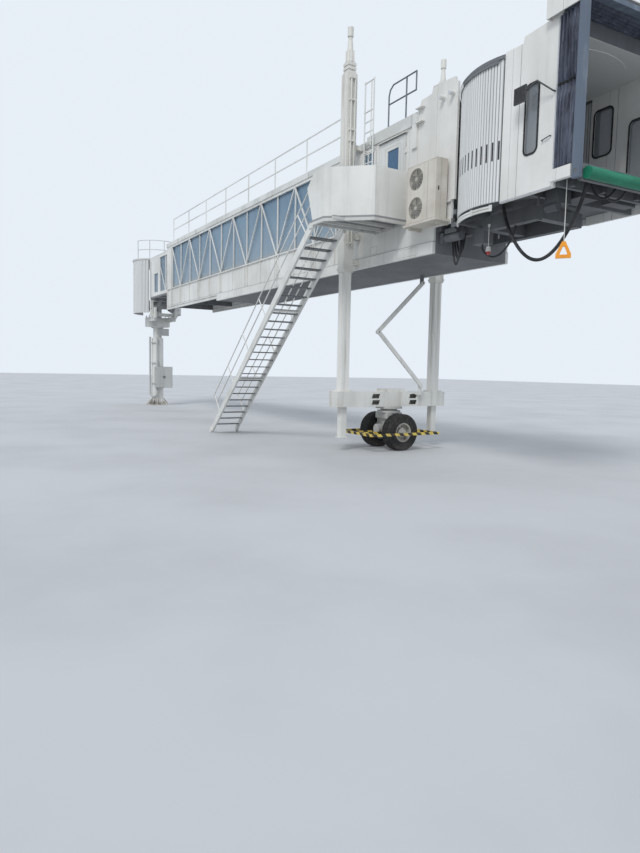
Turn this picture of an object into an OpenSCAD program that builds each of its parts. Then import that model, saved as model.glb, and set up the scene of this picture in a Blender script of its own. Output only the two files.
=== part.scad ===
// Apron drive passenger bridge: a fixed pedestal and rotunda at the terminal, a glazed
// telescoping tunnel of two sections, a lift carriage on a steered pair of wheels, and a
// turning cab with a folding canopy. X runs from the rotunda to the cab, the service stair
// is on the -Y side, the ground is Z = 0, and the origin is the foot of the pedestal.

/* [Levels] */
// Height of the outer tunnel's floor above the ground
floor_z = 6000; // [5900:10:6100]
// Height of the tunnel girders' underside
girder_bottom_z = 5100; // [5050:10:5200]
// Height of the window sill rail
sill_z = 6220; // [6180:10:6300]
// Height of the outer tunnel's eaves
eaves_z = 8280; // [8260:10:8360]
// Thickness of the outer tunnel's roof
roof_t = 220; // [160:10:260]

/* [Pedestal and rotunda] */
// Diameter of the pedestal's lower tube
pedestal_d = 680; // [640:10:720]
// Diameter of the narrower stem above it
stem_d = 500; // [460:10:540]
// Wall of the pedestal tube
pedestal_wall = 16; // [12:1:24]
// Diameter of the base flange
base_d = 1370; // [1300:10:1440]
// Thickness of the base flange
base_t = 40; // [30:5:60]
// Bolt circle of the anchor bolts
anchor_pcd = 1180; // [1140:10:1240]
// Number of anchor bolts
anchor_n = 12; // [8:2:16]
// Diameter of an anchor bolt's hole
anchor_hole_d = 42; // [36:2:48]
// Radius of the rotunda's floor
rotunda_r = 1330; // [1300:10:1360]
// Length of the corridor stub beyond the rotunda's axis
stub_l = 2600; // [2200:50:3000]
// Direction of the corridor stub from the bridge's line
stub_dir = 155; // [150:1:165]

/* [Tunnels] */
// Distance from the rotunda's axis to the lift columns
carriage_x = 23100; // [22900:50:23300]
// Outside width of the outer tunnel
outer_w = 2540; // [2500:10:2580]
// Clearance on each side between the two tunnels' outside faces
tunnel_gap = 140; // [130:5:170]
// Where the inner tunnel's floor begins
inner_x0 = 1750; // [1740:10:1800]
// Where the inner tunnel's sides and roof begin
inner_side_x0 = 2600; // [2550:10:2700]
// Where the inner tunnel ends
inner_x1 = 19800; // [19000:100:20400]
// Where the outer tunnel begins
outer_x0 = 5900; // [5800:50:6000]
// Where the deep part of the side girders begins
deep_x0 = 12600; // [12300:50:12900]
// Where the glazed part of the outer tunnel ends
glazed_x1 = 22300; // [22200:20:22400]
// Length of the closed white band at the outer tunnel's rear end
band_l = 700; // [600:10:760]
// Spacing of the window mullions
mullion_pitch = 1270; // [1200:10:1300]
// Width of a truss bar
bar_w = 42; // [34:2:60]
// Thickness of the window glass
glass_t = 12; // [8:1:16]

/* [Lift] */
// Side of the square inner lift column
column_w = 250; // [230:5:270]
// Side of the square sleeve that the column slides in
sleeve_w = 310; // [300:5:330]
// Distance of each column from the bridge's centre line
column_y = 1650; // [1640:10:1700]
// Height of the lift towers' tube
tower_top_z = 10250; // [10000:50:10400]
// Height of the carriage beam's underside
beam_bottom_z = 1250; // [1200:10:1300]
// Depth of the carriage beam
beam_h = 430; // [380:10:450]
// Diameter of a tyre
tyre_d = 1060; // [1020:10:1080]
// Width of a tyre
tyre_w = 380; // [340:10:400]
// Distance between the two wheels' centres
wheel_track = 1100; // [1060:10:1140]

/* [Landing and stair] */
// Where the landing meets the stair
landing_x0 = 23900; // [23850:10:23950]
// Where the landing ends towards the cab
landing_x1 = 25300; // [25280:10:25400]
// Reach of the landing from the centre line
landing_y = 3200; // [3100:10:3300]
// Height of the landing's parapet above its floor
parapet_h = 1170; // [1100:10:1200]
// Width of the stair between its stringers
stair_w = 840; // [780:10:860]
// Horizontal run of the stair
stair_run = 6820; // [6600:20:7000]
// Number of treads
tread_n = 25; // [22:1:27]

/* [Cab] */
// Distance from the rotunda's axis to the cab's turning axis
cab_x = 28200; // [28150:10:28250]
// Radius of the cab's round floor
cab_r = 1620; // [1600:5:1630]
// Half of the cab's width over its side walls
cab_half_w = 1550; // [1530:5:1560]
// Reach of the side walls in front of the turning axis
cab_front = 1950; // [1900:10:2000]
// Height of the cab's bottom edge
cab_bottom_z = 5710; // [5700:10:5760]
// Height of the cab's eaves
cab_top_z = 8580; // [8560:10:8640]
// Reach of the canopy's front frame from the turning axis
canopy_reach = 2600; // [2560:10:2660]
// Height of the canopy's top
canopy_top_z = 8900; // [8860:10:9000]

// Turn of the cab from the bridge's line
cab_yaw = -3; // [-5:0.5:0]

/* [Hidden] */

// Running gap where one piece seats on another that moves
seat = 0.3;
// Radial play of a pivot pin in its bore
pin_play = 0.1;
white = "#e6e6e2";
shade_white = "#cfd0cc";
steel_grey = "#8b8e8f";
dark_grey = "#4c4f52";
sky_glass = "#7fa4b8";

outer_y = outer_w / 2;
inner_y = outer_y - tunnel_gap;
roof_z = eaves_z + roof_t;

// A box given by its two corners
module span(a, b) {
  translate([min(a[0], b[0]), min(a[1], b[1]), min(a[2], b[2])])
    cube([abs(b[0] - a[0]), abs(b[1] - a[1]), abs(b[2] - a[2])]);
}

// A square bar of side w between two points of a vertical plane at depth y0
module bar_xz(p, q, w, y0, depth) {
  l = norm([q[0] - p[0], q[1] - p[1]]);
  a = atan2(q[1] - p[1], q[0] - p[0]);
  translate([p[0], y0, p[1]]) rotate([0, -a, 0]) translate([0, 0, -w / 2]) cube([l, depth, w]);
}

// A flat outline in the XZ plane, thickened towards +Y from y0
module plate_xz(outline, y0, depth) {
  translate([0, y0 + depth, 0]) rotate([90, 0, 0]) linear_extrude(height = depth) polygon(outline);
}

// A round bar between two points
module rod(p, q, d) {
  v = q - p;
  l = norm(v);
  translate(p) rotate([0, acos(v[2] / l), atan2(v[1], v[0])]) cylinder(d = d, h = l, $fn = 24);
}

// A round bar bent through a list of points, with a ball at each bend
module bent_rod(points, d) {
  for (i = [0:len(points) - 2]) rod(points[i], points[i + 1], d);
  for (i = [1:len(points) - 2]) translate(points[i]) sphere(d = d + 4, $fn = 24);
}

// The plan of a slat curtain: flat slats that stand out to r2 from a web between r0 and r1
function polar(r, a) = [r * cos(a), r * sin(a)];
function slat_plan(r0, r1, r2, a0, a1, n) = let (d = (a1 - a0) / n) concat(
  [for (i = [0:n - 1]) each [polar(r1, a0 + i * d), polar(r1, a0 + (i + 0.14) * d),
    polar(r2, a0 + (i + 0.24) * d), polar(r2, a0 + (i + 0.9) * d)]],
  [polar(r1, a1)], [for (i = [n:-1:0]) polar(r0, a0 + i * d)]);

// Its children, and the same mirrored to the other side of the bridge
module both_sides() {
  children();
  mirror([0, 1, 0]) children();
}

// A slice of a round wall between two radii, from angle a0 to a1
module arc_wall(r0, r1, a0, a1, h) {
  rotate([0, 0, a0]) rotate_extrude(angle = a1 - a0, $fn = 96) translate([r0, 0]) square([r1 - r0, h]);
}

// Pedestal and rotunda

rotunda_floor_z = 6092;
rotunda_floor_t = 150;
yoke_z0 = 4660;
yoke_h = 540;
yoke_half_x = 350;
yoke_half_y = 640;
yoke_arm_w = 180;
stem_z = 4000;
yoke_top = yoke_z0 + yoke_h;
pivot_x = 1500;
pivot_z = 5600;
pin_d = 110;
column_top_z = rotunda_floor_z - rotunda_floor_t;

module pedestal_column() color(white) {
  difference() {
    union() {
      cylinder(d = base_d, h = base_t, $fn = 64);
      cylinder(d = pedestal_d, h = stem_z, $fn = 64);
      cylinder(d = stem_d, h = column_top_z, $fn = 64);
      for (i = [0:anchor_n - 1]) rotate([0, 0, (i + 0.5) * 360 / anchor_n])
        plate_xz([[pedestal_d / 2 - 20, base_t - 5], [base_d / 2 - 40, base_t - 5],
          [base_d / 2 - 40, base_t + 40], [pedestal_d / 2 - 20, base_t + 420]], -8, 16);
      // The bearing collar that carries the swing yoke
      translate([0, 0, yoke_z0 - seat - 60]) cylinder(d = stem_d + 220, h = 60, $fn = 64);
    }
    translate([0, 0, -1]) cylinder(d = pedestal_d - 2 * pedestal_wall, h = stem_z - 29, $fn = 64);
    translate([0, 0, -1]) cylinder(d = stem_d - 2 * pedestal_wall, h = column_top_z - 30, $fn = 64);
    for (i = [0:anchor_n - 1]) rotate([0, 0, i * 360 / anchor_n])
      translate([anchor_pcd / 2, 0, -1]) cylinder(d = anchor_hole_d, h = base_t + 2, $fn = 32);
  }
}

pipe_d = 110;
pipe_y = -pedestal_d / 2 - pipe_d / 2 - 20;
pipe_gap = 480;
pipe_low_z = 760;
pipe_dir = 40;
cabinet_x = 360;

module pedestal_services() color(steel_grey) {
  // Two drain pipes joined by a bend at the foot
  rotate([0, 0, pipe_dir]) {
    for (s = [-1, 1]) translate([s * pipe_gap / 2, pipe_y, pipe_low_z]) cylinder(d = pipe_d, h = 3300, $fn = 32);
    translate([0, pipe_y, pipe_low_z]) rotate([-90, 0, 0]) rotate_extrude(angle = 180, $fn = 48)
      translate([pipe_gap / 2, 0]) circle(d = pipe_d, $fn = 32);
  }
  // The switch cabinet and the junction box
  span([cabinet_x, -300, 1050], [cabinet_x + 260, 720, 2300]);
  span([stem_d / 2 + 20, -40, 4140], [stem_d / 2 + 190, 560, 4560]);
  // Brackets on the tube and on the stem
  difference() {
    union() {
      rotate([0, 0, pipe_dir]) for (z = [1300, 2500, 3700])
        span([-pipe_gap / 2 - 80, pipe_y - 5, z], [pipe_gap / 2 + 80, -pedestal_d / 2 + 90, z + 50]);
      for (z = [1250, 2050]) span([pedestal_d / 2 - 60, -80, z], [cabinet_x + 10, 80, z + 80]);
    }
    translate([0, 0, 1000]) cylinder(d = pedestal_d + 2 * seat, h = 3500, $fn = 128);
  }
  difference() {
    for (z = [4180, 4440]) span([stem_d / 2 - 60, -20, z], [stem_d / 2 + 30, 60, z + 80]);
    translate([0, 0, 4100]) cylinder(d = stem_d + 2 * seat, h = 600, $fn = 128);
  }
}

stub_half = 900;
stub_wall = 60;
wall_top_z = 8400;

module rotunda_floor() color(steel_grey) {
  translate([0, 0, column_top_z]) cylinder(r = rotunda_r, h = rotunda_floor_t, $fn = 96);
  rotate([0, 0, stub_dir]) {
    span([stub_x0, -stub_half - stub_wall, column_top_z], [stub_l, stub_half + stub_wall, rotunda_floor_z]);
    for (s = [-1, 1]) span([400, s * 600 - 60, column_top_z - 260], [stub_l, s * 600 + 60, column_top_z]);
  }
}

module rotunda_roof() color(shade_white) {
  translate([0, 0, wall_top_z]) cylinder(r = rotunda_r + 80, h = 80, $fn = 96);
  rotate([0, 0, stub_dir]) span([stub_x0, -stub_half - stub_wall - 40, wall_top_z], [stub_l, stub_half + stub_wall + 40, wall_top_z + 80]);
  // The low rail round the roof
  for (a = [-70:35:70]) rotate([0, 0, a]) translate([rotunda_r + 10, 0, wall_top_z + 80]) cylinder(d = 40, h = 1020, $fn = 16);
  for (z = [560, 1080]) translate([0, 0, wall_top_z + z]) arc_wall(rotunda_r - 6, rotunda_r + 26, -70.6, 70.6, 32);
}

stub_x0 = 900;
jamb_x = 990;

module corridor_walls() color(shade_white) rotate([0, 0, stub_dir]) both_sides() {
  span([jamb_x, stub_half, rotunda_floor_z], [stub_l, stub_half + stub_wall, wall_top_z]);
  for (x = [jamb_x + 80:200:stub_l - 80]) span([x, stub_half + stub_wall - 5, rotunda_floor_z], [x + 60, stub_half + stub_wall + 25, wall_top_z]);
}

module swing_yoke() color(white) {
  arm_c = yoke_half_y - yoke_arm_w / 2;
  difference() {
    union() {
      span([-yoke_half_x, -yoke_half_y, yoke_z0], [yoke_half_x, yoke_half_y, yoke_top]);
      for (s = [-1, 1]) span([yoke_half_x - 50, s * arm_c - yoke_arm_w / 2, yoke_top - 260], [portal_x1 + 120, s * arm_c + yoke_arm_w / 2, yoke_top]);
      for (s = [-1, 1]) plate_xz([[1100, yoke_top - 260], [1640, yoke_top - 100], [1640, pivot_z + 90],
        [1400, pivot_z + 90], [1366, yoke_top - 5], [1100, yoke_top - 5]], s * (yoke_half_y - 50) - 50, 100);
      // Bolts that stand on the yoke's corners
      for (x = [-1, 1]) for (y = [-1, 1]) translate([x * (yoke_half_x - 60), y * (yoke_half_y - 60), yoke_top - 5]) cylinder(d = 50, h = 125, $fn = 24);
    }
    translate([0, 0, yoke_z0 - 1]) cylinder(d = stem_d + 40, h = yoke_h + 2, $fn = 64);
  }
  for (s = [-1, 1]) translate([pivot_x, s * (yoke_half_y - 50), pivot_z]) rotate([s * 90, 0, 0]) cylinder(d = pin_d, h = 200, $fn = 48);
}

portal_x0 = 1190;
portal_x1 = 1360;
portal_in = 640;
portal_out = 800;
portal_top_z = 8380;
portal_head_z = 8180;

module swing_portal() color(white) {
  for (s = [-1, 1]) span([portal_x0, s * portal_in, yoke_top + 180], [portal_x1, s * portal_out, portal_top_z]);
  span([portal_x0, -portal_out, portal_head_z], [portal_x1, portal_out, portal_top_z]);
  span([portal_x0 + 20, -portal_out, yoke_top], [portal_x1, portal_out, yoke_top + 180]);
  // The sill between the round floor and the tunnel's flap
  difference() {
    span([1160, -portal_in, rotunda_floor_z - 60], [1450, portal_in, rotunda_floor_z]);
    translate([0, 0, 6000]) cylinder(r = rotunda_r + 8, h = 200, $fn = 240);
  }
}

curtain_r = rotunda_r + 10;
curtain_t = 24;
slat_n = 30;
slat_a0 = 37;
curtain_z0 = 5400;

// The ribbed slat curtain on one side of the rotunda
module rotunda_slats(a1) {
  translate([0, 0, curtain_z0]) linear_extrude(height = wall_top_z - curtain_z0 - seat)
    polygon(slat_plan(curtain_r, curtain_r + curtain_t, curtain_r + curtain_t + 18, slat_a0, a1, slat_n));
}

module rotunda_curtain_near() color(shade_white) mirror([0, 1, 0]) rotunda_slats(158);

module rotunda_curtain_far() color(shade_white) rotunda_slats(108);

// Inner tunnel

inner_floor_z = floor_z + 30;
inner_deck_t = 90;
inner_deck_z = inner_floor_z + inner_deck_t;
inner_eaves_z = 8180;
inner_roof_t = 60;
wear_t = inner_floor_z - floor_z - seat;
bearer_pitch = 1270;
tongue_y = portal_out - 40;
lug_y = 440;

module inner_floor() color(steel_grey) {
  difference() {
    union() {
      span([inner_x0, -tongue_y, inner_deck_z - 30], [inner_side_x0 + 5, tongue_y, inner_deck_z]);
      span([inner_side_x0, -inner_y, inner_deck_z - 30], [inner_x1, inner_y, inner_deck_z]);
      for (s = [-1, 1]) span([inner_side_x0, s * (inner_y - 40) - 40, inner_floor_z], [inner_x1, s * (inner_y - 40) + 40, inner_deck_z - 25]);
      for (x = [inner_side_x0:bearer_pitch:inner_x1 - 60]) span([x, -inner_y + 60, inner_floor_z], [x + 60, inner_y - 60, inner_deck_z - 25]);
      span([inner_x1 - 60, -inner_y + 60, inner_floor_z], [inner_x1, inner_y - 60, inner_deck_z - 25]);
      span([inner_x0, -tongue_y, inner_floor_z], [inner_x0 + 60, tongue_y, inner_deck_z - 25]);
      for (s = [-1, 1]) span([inner_x0, s * lug_y - 40, inner_floor_z - 100], [inner_side_x0 + 170, s * lug_y + 40, inner_deck_z - 25]);
      for (s = [-1, 1]) span([inner_x1 - 600, s * 900 - 60, inner_floor_z], [inner_x1, s * 900 + 60, inner_deck_z - 25]);
      // The lugs that hang on the yoke's pins
      for (s = [-1, 1]) plate_xz([[inner_x0 + 700, inner_floor_z + 5], [inner_x0, inner_floor_z + 5], [inner_x0 - 90, inner_floor_z - 40],
        [pivot_x - 110, pivot_z + 60], [pivot_x - 110, pivot_z - 60], [pivot_x - 50, pivot_z - 120], [pivot_x + 70, pivot_z - 120],
        [pivot_x + 160, pivot_z - 20]], s * lug_y - 40, 80);
      // The flap over the gap to the portal's sill
      span([1470, -portal_in + 20, inner_deck_z - 16], [inner_x0 + 5, portal_in - 20, inner_deck_z]);
      // Wear shoes that slide on the outer tunnel's floor
      for (s = [-1, 1]) span([inner_x1 - 500, s * 900 - 60, inner_floor_z - wear_t], [inner_x1 - 100, s * 900 + 60, inner_floor_z + 5]);
    }
    for (s = [-1, 1]) translate([pivot_x, s * lug_y - 60, pivot_z]) rotate([-90, 0, 0]) cylinder(d = pin_d + 2 * pin_play, h = 120, $fn = 48);
  }
}

inner_bays = floor((inner_x1 - inner_side_x0) / mullion_pitch);
closed_l = 1600;

// One welded side frame of the inner tunnel, on its -Y side
module inner_frame() {
  y = -inner_y;
  span([inner_side_x0, y, inner_deck_z], [inner_x1, y + 60, inner_deck_z + 160]);
  span([inner_side_x0, y, inner_eaves_z - 120], [inner_x1, y + 60, inner_eaves_z]);
  // The end wall beside the bellows, and the closed panel with its window
  span([inner_side_x0, y, inner_deck_z], [inner_side_x0 + 40, -portal_out + 30, inner_eaves_z]);
  difference() {
    span([inner_side_x0, y + 5, inner_deck_z + 100], [inner_side_x0 + closed_l, y + 55, inner_eaves_z - 60]);
    span([inner_side_x0 + 550, y - 1, inner_deck_z + 190], [inner_side_x0 + 1240, y + 60, 7300]);
  }
  for (i = [1:inner_bays]) {
    x = inner_side_x0 + i * mullion_pitch;
    span([x, y, inner_deck_z + 100], [x + bar_w, y + 60, inner_eaves_z - 60]);
  }
  span([inner_x1 - bar_w, y, inner_deck_z + 100], [inner_x1, y + 60, inner_eaves_z - 60]);
  for (i = [1:inner_bays - 1]) {
    x = inner_side_x0 + i * mullion_pitch + bar_w / 2;
    up = i % 2 == 0;
    bar_xz([x, up ? inner_deck_z + 120 : inner_eaves_z - 80], [x + mullion_pitch, up ? inner_eaves_z - 80 : inner_deck_z + 120], bar_w, y + 5, 30);
  }
}

module inner_side_near() color(white) inner_frame();

module inner_side_far() color(white) mirror([0, 1, 0]) inner_frame();

module inner_glass() color(sky_glass, 0.4) both_sides()
  span([inner_side_x0 + 40, -inner_y + 60, inner_deck_z], [inner_x1 - 60, -inner_y + 60 + glass_t, inner_eaves_z]);

module inner_roof() color(shade_white)
  span([inner_side_x0, -inner_y, inner_eaves_z], [inner_x1, inner_y, inner_eaves_z + inner_roof_t]);

module vestibule_bellows() color(dark_grey) {
  difference() {
    span([portal_x1 + seat, -portal_out + 10, inner_deck_z], [inner_side_x0, portal_out - 10, inner_eaves_z + inner_roof_t]);
    span([portal_x1, -portal_in - 30, inner_deck_z - 1], [inner_side_x0 + 1, portal_in + 30, portal_head_z - 60]);
  }
}

// Outer tunnel

deck_t = 100;
web_pitch = 2540;
under_t = 12;
front_x1 = cab_x - 1215;
cab_gap_r = cab_r + 100;
floor_gap_r = cab_r + 15;
side_x1 = front_x1 - 100;
girder_x1 = 26300;
shallow_z = girder_bottom_z + 230;
wall_t = 60;
girder_in = outer_y - 90;
door_x0 = 24050;
door_x1 = 25150;
door_z0 = floor_z + 50;
door_z1 = 8200;

// The round space that the cab turns in
module cab_space(z0, z1) {
  translate([cab_x, 0, z0]) cylinder(r = cab_gap_r, h = z1 - z0, $fn = 240);
}

module outer_floor() color(dark_grey) {
  difference() {
    span([outer_x0, -girder_in, floor_z - deck_t], [front_x1 - 20, girder_in, floor_z]);
    translate([cab_x, 0, floor_z - deck_t - 1]) cylinder(r = floor_gap_r, h = deck_t + 2, $fn = 240);
  }
  for (x = [outer_x0:web_pitch:girder_x1 - 300])
    span([x, -girder_in, x < deep_x0 ? shallow_z : girder_bottom_z], [x + 60, girder_in, floor_z - deck_t + 5]);
  span([deep_x0, -girder_in, girder_bottom_z], [girder_x1, girder_in, girder_bottom_z + under_t]);
  span([girder_x1 - 60, -girder_in, girder_bottom_z], [girder_x1, girder_in, floor_z - deck_t + 5]);
  // The bracket and pin of the cable arm
  span([arm_x - 50, arm_top[0] - 60, arm_top[1] - 60], [arm_x - 10, arm_top[0] + 60, girder_bottom_z + 5]);
  translate([arm_x - 15, arm_top[0], arm_top[1]]) rotate([0, 90, 0]) cylinder(d = arm_pin_d, h = arm_t + 20, $fn = 32);
}

rib_top_z = sill_z - 50;
seam_z = girder_bottom_z + 280;

// One welded side of the outer tunnel, on its -Y side: girder, sill, mullions and braces
module outer_frame(doorway) {
  y = -outer_y;
  difference() {
    span([outer_x0, y + 30, seam_z], [girder_x1, y + 90, sill_z - 30]);
    if (doorway) span([door_x0, y - 50, door_z0], [door_x1, y + 150, sill_z + 50]);
  }
  difference() {
    span([outer_x0, y - 20, sill_z - 40], [side_x1, y + 90, sill_z]);
    if (doorway) span([door_x0, y - 50, door_z0], [door_x1, y + 150, sill_z + 50]);
  }
  span([girder_x1, y + 30, floor_z - deck_t - 200], [side_x1, y + 90, sill_z - 40]);
  // The deep bottom beam and the thin flanges behind it
  span([deep_x0, y, girder_bottom_z], [girder_x1, y + 90, seam_z + 5]);
  span([outer_x0, y, seam_z - 50], [deep_x0, y + 90, seam_z + 5]);
  span([outer_x0, y, seam_z - 180], [deep_x0, y + 90, seam_z - 135]);
  span([outer_x0, y + 40, seam_z - 140], [deep_x0, y + 60, seam_z - 45]);
  // The closed end band with its posts, and the top chord
  for (x = [outer_x0, outer_x0 + band_l - 90]) span([x, y - 10, seam_z - 180], [x + 90, y + 90, eaves_z]);
  span([outer_x0, y + 10, sill_z - 45], [outer_x0 + band_l, y + 80, eaves_z]);
  span([outer_x0, y, eaves_z - 90], [glazed_x1, y + 70, eaves_z]);
  span([glazed_x1 - 60, y, sill_z - 40], [glazed_x1, y + 90, eaves_z]);
  for (i = [0:12]) {
    x = outer_x0 + band_l + 50 + i * mullion_pitch;
    span([x - bar_w / 2, y + 34, sill_z - 5], [x + bar_w / 2, y + 74, eaves_z - 60]);
    // Stub ribs on the girder, one at a top node and three at a bottom node
    for (k = i % 2 == 0 ? [0] : [-130, 0, 130]) span([x + k - 14, y - 10, seam_z + 40], [x + k + 14, y + 35, rib_top_z]);
  }
  for (i = [0:11]) {
    x = outer_x0 + band_l + 50 + i * mullion_pitch;
    down = i % 2 == 0;
    bar_xz([x, down ? eaves_z - 60 : sill_z - 10], [x + mullion_pitch, down ? sill_z - 10 : eaves_z - 60], bar_w, y + 2, 36);
  }
}

module outer_side_near() color(white) outer_frame(true);

module outer_side_far() color(white) mirror([0, 1, 0]) outer_frame(false);

glass_y = outer_y - 88;

module outer_glass() color(sky_glass, 0.4) {
  both_sides() span([outer_x0 + band_l, -glass_y, sill_z], [glazed_x1 - 60, -glass_y + glass_t, eaves_z]);
  // The small window beside the service door
  span([front_win_x0, -outer_y + 30, front_win_z0], [front_win_x1, -outer_y + 30 + glass_t, front_win_z1]);
}

roof_over = 30;
sheet_l = 2540;
step_x = 25600;
strip_z = roof_z - 40;

module outer_roof() color(white) difference() {
  end_y = outer_y - 10 - wall_t;
  union() {
    span([outer_x0, -outer_y - roof_over, eaves_z], [step_x, outer_y + roof_over, strip_z]);
    span([step_x - 5, -end_y, eaves_z], [front_x1, end_y, strip_z]);
    // Overlapping roof sheets
    for (x = [outer_x0:sheet_l:front_x1 - 500])
      plate_xz([[x, strip_z - 5], [min(x + sheet_l, front_x1), strip_z - 5], [min(x + sheet_l, front_x1), roof_z - 24], [x, roof_z]],
        -end_y, 2 * end_y);
    // The fascia over the service door
    span([fascia_x0, -outer_y - roof_over, strip_z - 5], [step_x, -outer_y - roof_over + 24, roof_z + 60]);
  }
  cab_space(eaves_z - 1, roof_z + 1);
  span([outer_x0 + 60, -outer_y + 40, eaves_z + 25], [step_x - 60, outer_y - 40, roof_z - 70]);
  span([step_x - 61, -end_y + 60, eaves_z + 25], [front_x1 + 1, end_y - 60, roof_z - 70]);
}

fascia_x0 = carriage_x + sleeve_w / 2 + 245;
front_win_x0 = carriage_x + 250;
front_win_x1 = front_win_x0 + 460;
front_win_z0 = 7020;
front_win_z1 = 8120;
corner_x0 = 25430;
corner_w = 180;

// The closed wall of the front section, on its -Y side
module front_wall(doorway) {
  y = -outer_y + 10;
  difference() {
    span([glazed_x1, y, sill_z], [front_x1, y + wall_t, eaves_z]);
    if (doorway) span([door_x0, y - 50, sill_z - 1], [door_x1, y + 150, door_z1]);
    if (doorway) span([front_win_x0, y - 50, front_win_z0], [front_win_x1, y + 150, front_win_z1]);
  }
  // The end wall that stands above the roof
  plate_xz([[step_x, eaves_z - 5], [front_x1, eaves_z - 5], [front_x1, 8800], [26900, 8800], [26880, 8930], [26140, 8980], [26080, 8820],
    [25720, 8800], [25660, 8700], [step_x, 8640]], y, wall_t);
  // The corner post with its flanges
  span([corner_x0, -outer_y - 40, sill_z + 1500], [corner_x0 + corner_w, y + 5, eaves_z]);
  for (z = [eaves_z - 12, 8600]) span([step_x, -outer_y - 90, z], [step_x + 260, y + 5, z + 24]);
}

module front_wall_near() color(white) {
  front_wall(true);
  // The drip rail over the doorway
  span([door_x0 - 20, -outer_y - 45, door_z1 + 6], [door_x1 + 100, -outer_y + 12, door_z1 + 26]);
  // Two lamps high on the end wall
  for (x = [26530, 26850]) translate([x, -outer_y + 12, 8570]) rotate([90, 0, 0]) cylinder(d = 110, h = 140, $fn = 32);
  // The small window's bars
  for (x = [front_win_x0 - 10, front_win_x0 + 150, front_win_x1 - 30]) span([x, -outer_y + 2, front_win_z0 - 10], [x + 40, -outer_y + 30, front_win_z1 + 10]);
  for (z = [front_win_z0 + 380, front_win_z0 + 740]) span([front_win_x0, -outer_y + 4, z], [front_win_x1, -outer_y + 30, z + 30]);
  // The fixed halves of the service door's hinges
  for (z = hinge_z) {
    translate([knuckle_x, knuckle_y, z - hinge_l - seat]) cylinder(d = knuckle_d, h = hinge_l, $fn = 32);
    span([knuckle_x, knuckle_y - 4, z - hinge_l - seat], [knuckle_x + 70, -outer_y + 12, z - seat]);
  }
}

module front_wall_far() color(white) mirror([0, 1, 0]) front_wall(false);

rail_h = 1000;
rail_y = outer_y - 20;
ladder_y = outer_y + 80;
ladder_x0 = carriage_x + 340;
ladder_x1 = ladder_x0 + 400;
rail_pitch = 2200;
rail_x0 = 6900;
rail_x1 = 22300;

module roof_rails() color(white) {
  both_sides() {
    for (x = [rail_x0:rail_pitch:rail_x1]) translate([x, -rail_y, strip_z]) cylinder(d = 42, h = rail_h + 40, $fn = 16);
    for (z = [rail_h / 2, rail_h]) span([rail_x0, -rail_y - 16, roof_z + z - 16], [rail_x0 + 7 * rail_pitch, -rail_y + 16, roof_z + z + 16]);
  }
  // The ladder up from the landing, with its hand grips above the roof
  for (x = [ladder_x0, ladder_x1]) translate([x, -ladder_y, door_z0 + 1100]) cylinder(d = 38, h = 10000 - door_z0 - 1100, $fn = 16);
  for (i = [0:7]) span([ladder_x0, -ladder_y - 12, door_z0 + 1250 + i * 270], [ladder_x1, -ladder_y + 12, door_z0 + 1274 + i * 270]);
  for (z = [7400, 8200]) for (x = [ladder_x0, ladder_x1])
    span([x - 14, -ladder_y, z], [x + 14, -outer_y + (z < 8000 && x < front_win_x1 ? 4 : 10), z + 28]);
  for (z = [9200, 9960]) rod([ladder_x0 - 30, -ladder_y, z], [ladder_x1 + 10, -ladder_y, z], 34);
  translate([ladder_x1 - 110, -ladder_y, 8300]) cylinder(d = 30, h = 1665, $fn = 16);
}

module roof_guard() color(steel_grey) {
  y = -rail_y;
  // The hooped guard on the roof over the service door
  rod([24380, y, strip_z], [24380, y, 9350], 40);
  bent_rod([[24380, y, 9340], [24430, y, 9480], [24560, y, 9570], [25480, y, 9570], [25480, y, 9130], [24380, y, 9130]], 38);
  rod([25100, y, strip_z], [25100, y, 9570], 40);
}

sleeve_wall = 14;
sleeve_bottom_z = 4980;

module lift_towers() color(white) both_sides() translate([carriage_x, -column_y, 0]) {
  h = sleeve_w / 2;
  difference() {
    span([-h, -h, sleeve_bottom_z], [h, h, tower_top_z]);
    span([-h + sleeve_wall, -h + sleeve_wall, sleeve_bottom_z - 1], [h - sleeve_wall, h - sleeve_wall, tower_top_z - 40]);
  }
  span([-h - 20, -h - 20, sleeve_bottom_z + 60], [-h + 3, h + 20, sleeve_bottom_z + 110]);
  span([h - 3, -h - 20, sleeve_bottom_z + 60], [h + 20, h + 20, sleeve_bottom_z + 110]);
  // Wear pads at the sleeve's mouth
  for (a = [0:90:270]) rotate([0, 0, a]) span([column_w / 2 + seat, -70, sleeve_bottom_z], [h - sleeve_wall + 1, 70, sleeve_bottom_z + 200]);
  // Brackets that tie the sleeve to the tunnel's side
  for (z = [5200, 5900]) span([-110, h - 4, z], [110, column_y - outer_y, z + 140]);
  span([-110, h - 4, eaves_z + 20], [110, column_y - outer_y - roof_over, eaves_z + 140]);
  // The two tubes of the cable chase with their clamps
  for (y = [-60, 60]) translate([h + 45, y, sleeve_bottom_z + 700]) cylinder(d = 42, h = tower_top_z - sleeve_bottom_z - 800, $fn = 16);
  for (z = [sleeve_bottom_z + 760, 6900, 8450, 8740, 9520, tower_top_z - 160]) span([h - 3, -100, z], [h + 70, 100, z + 40]);
  // The screw's housing: clamp fins, a taper and the cap
  for (z = [0, 110, 220]) translate([0, 0, tower_top_z - 5 + z]) {
    span([-130, -130, 0], [130, 130, 70]);
    span([-105, -105, 65], [105, 105, 115]);
  }
  translate([0, 0, tower_top_z + 320]) cylinder(d1 = 230, d2 = 120, h = 560, $fn = 32);
  for (a = [0:90:270]) rotate([0, 0, a + 45]) span([40, -8, tower_top_z + 320], [125, 8, tower_top_z + 620]);
  translate([0, 0, tower_top_z + 875]) cylinder(d = 110, h = 110, $fn = 32);
  translate([0, 0, tower_top_z + 980]) cylinder(d = 160, h = 240, $fn = 32);
}

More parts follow.
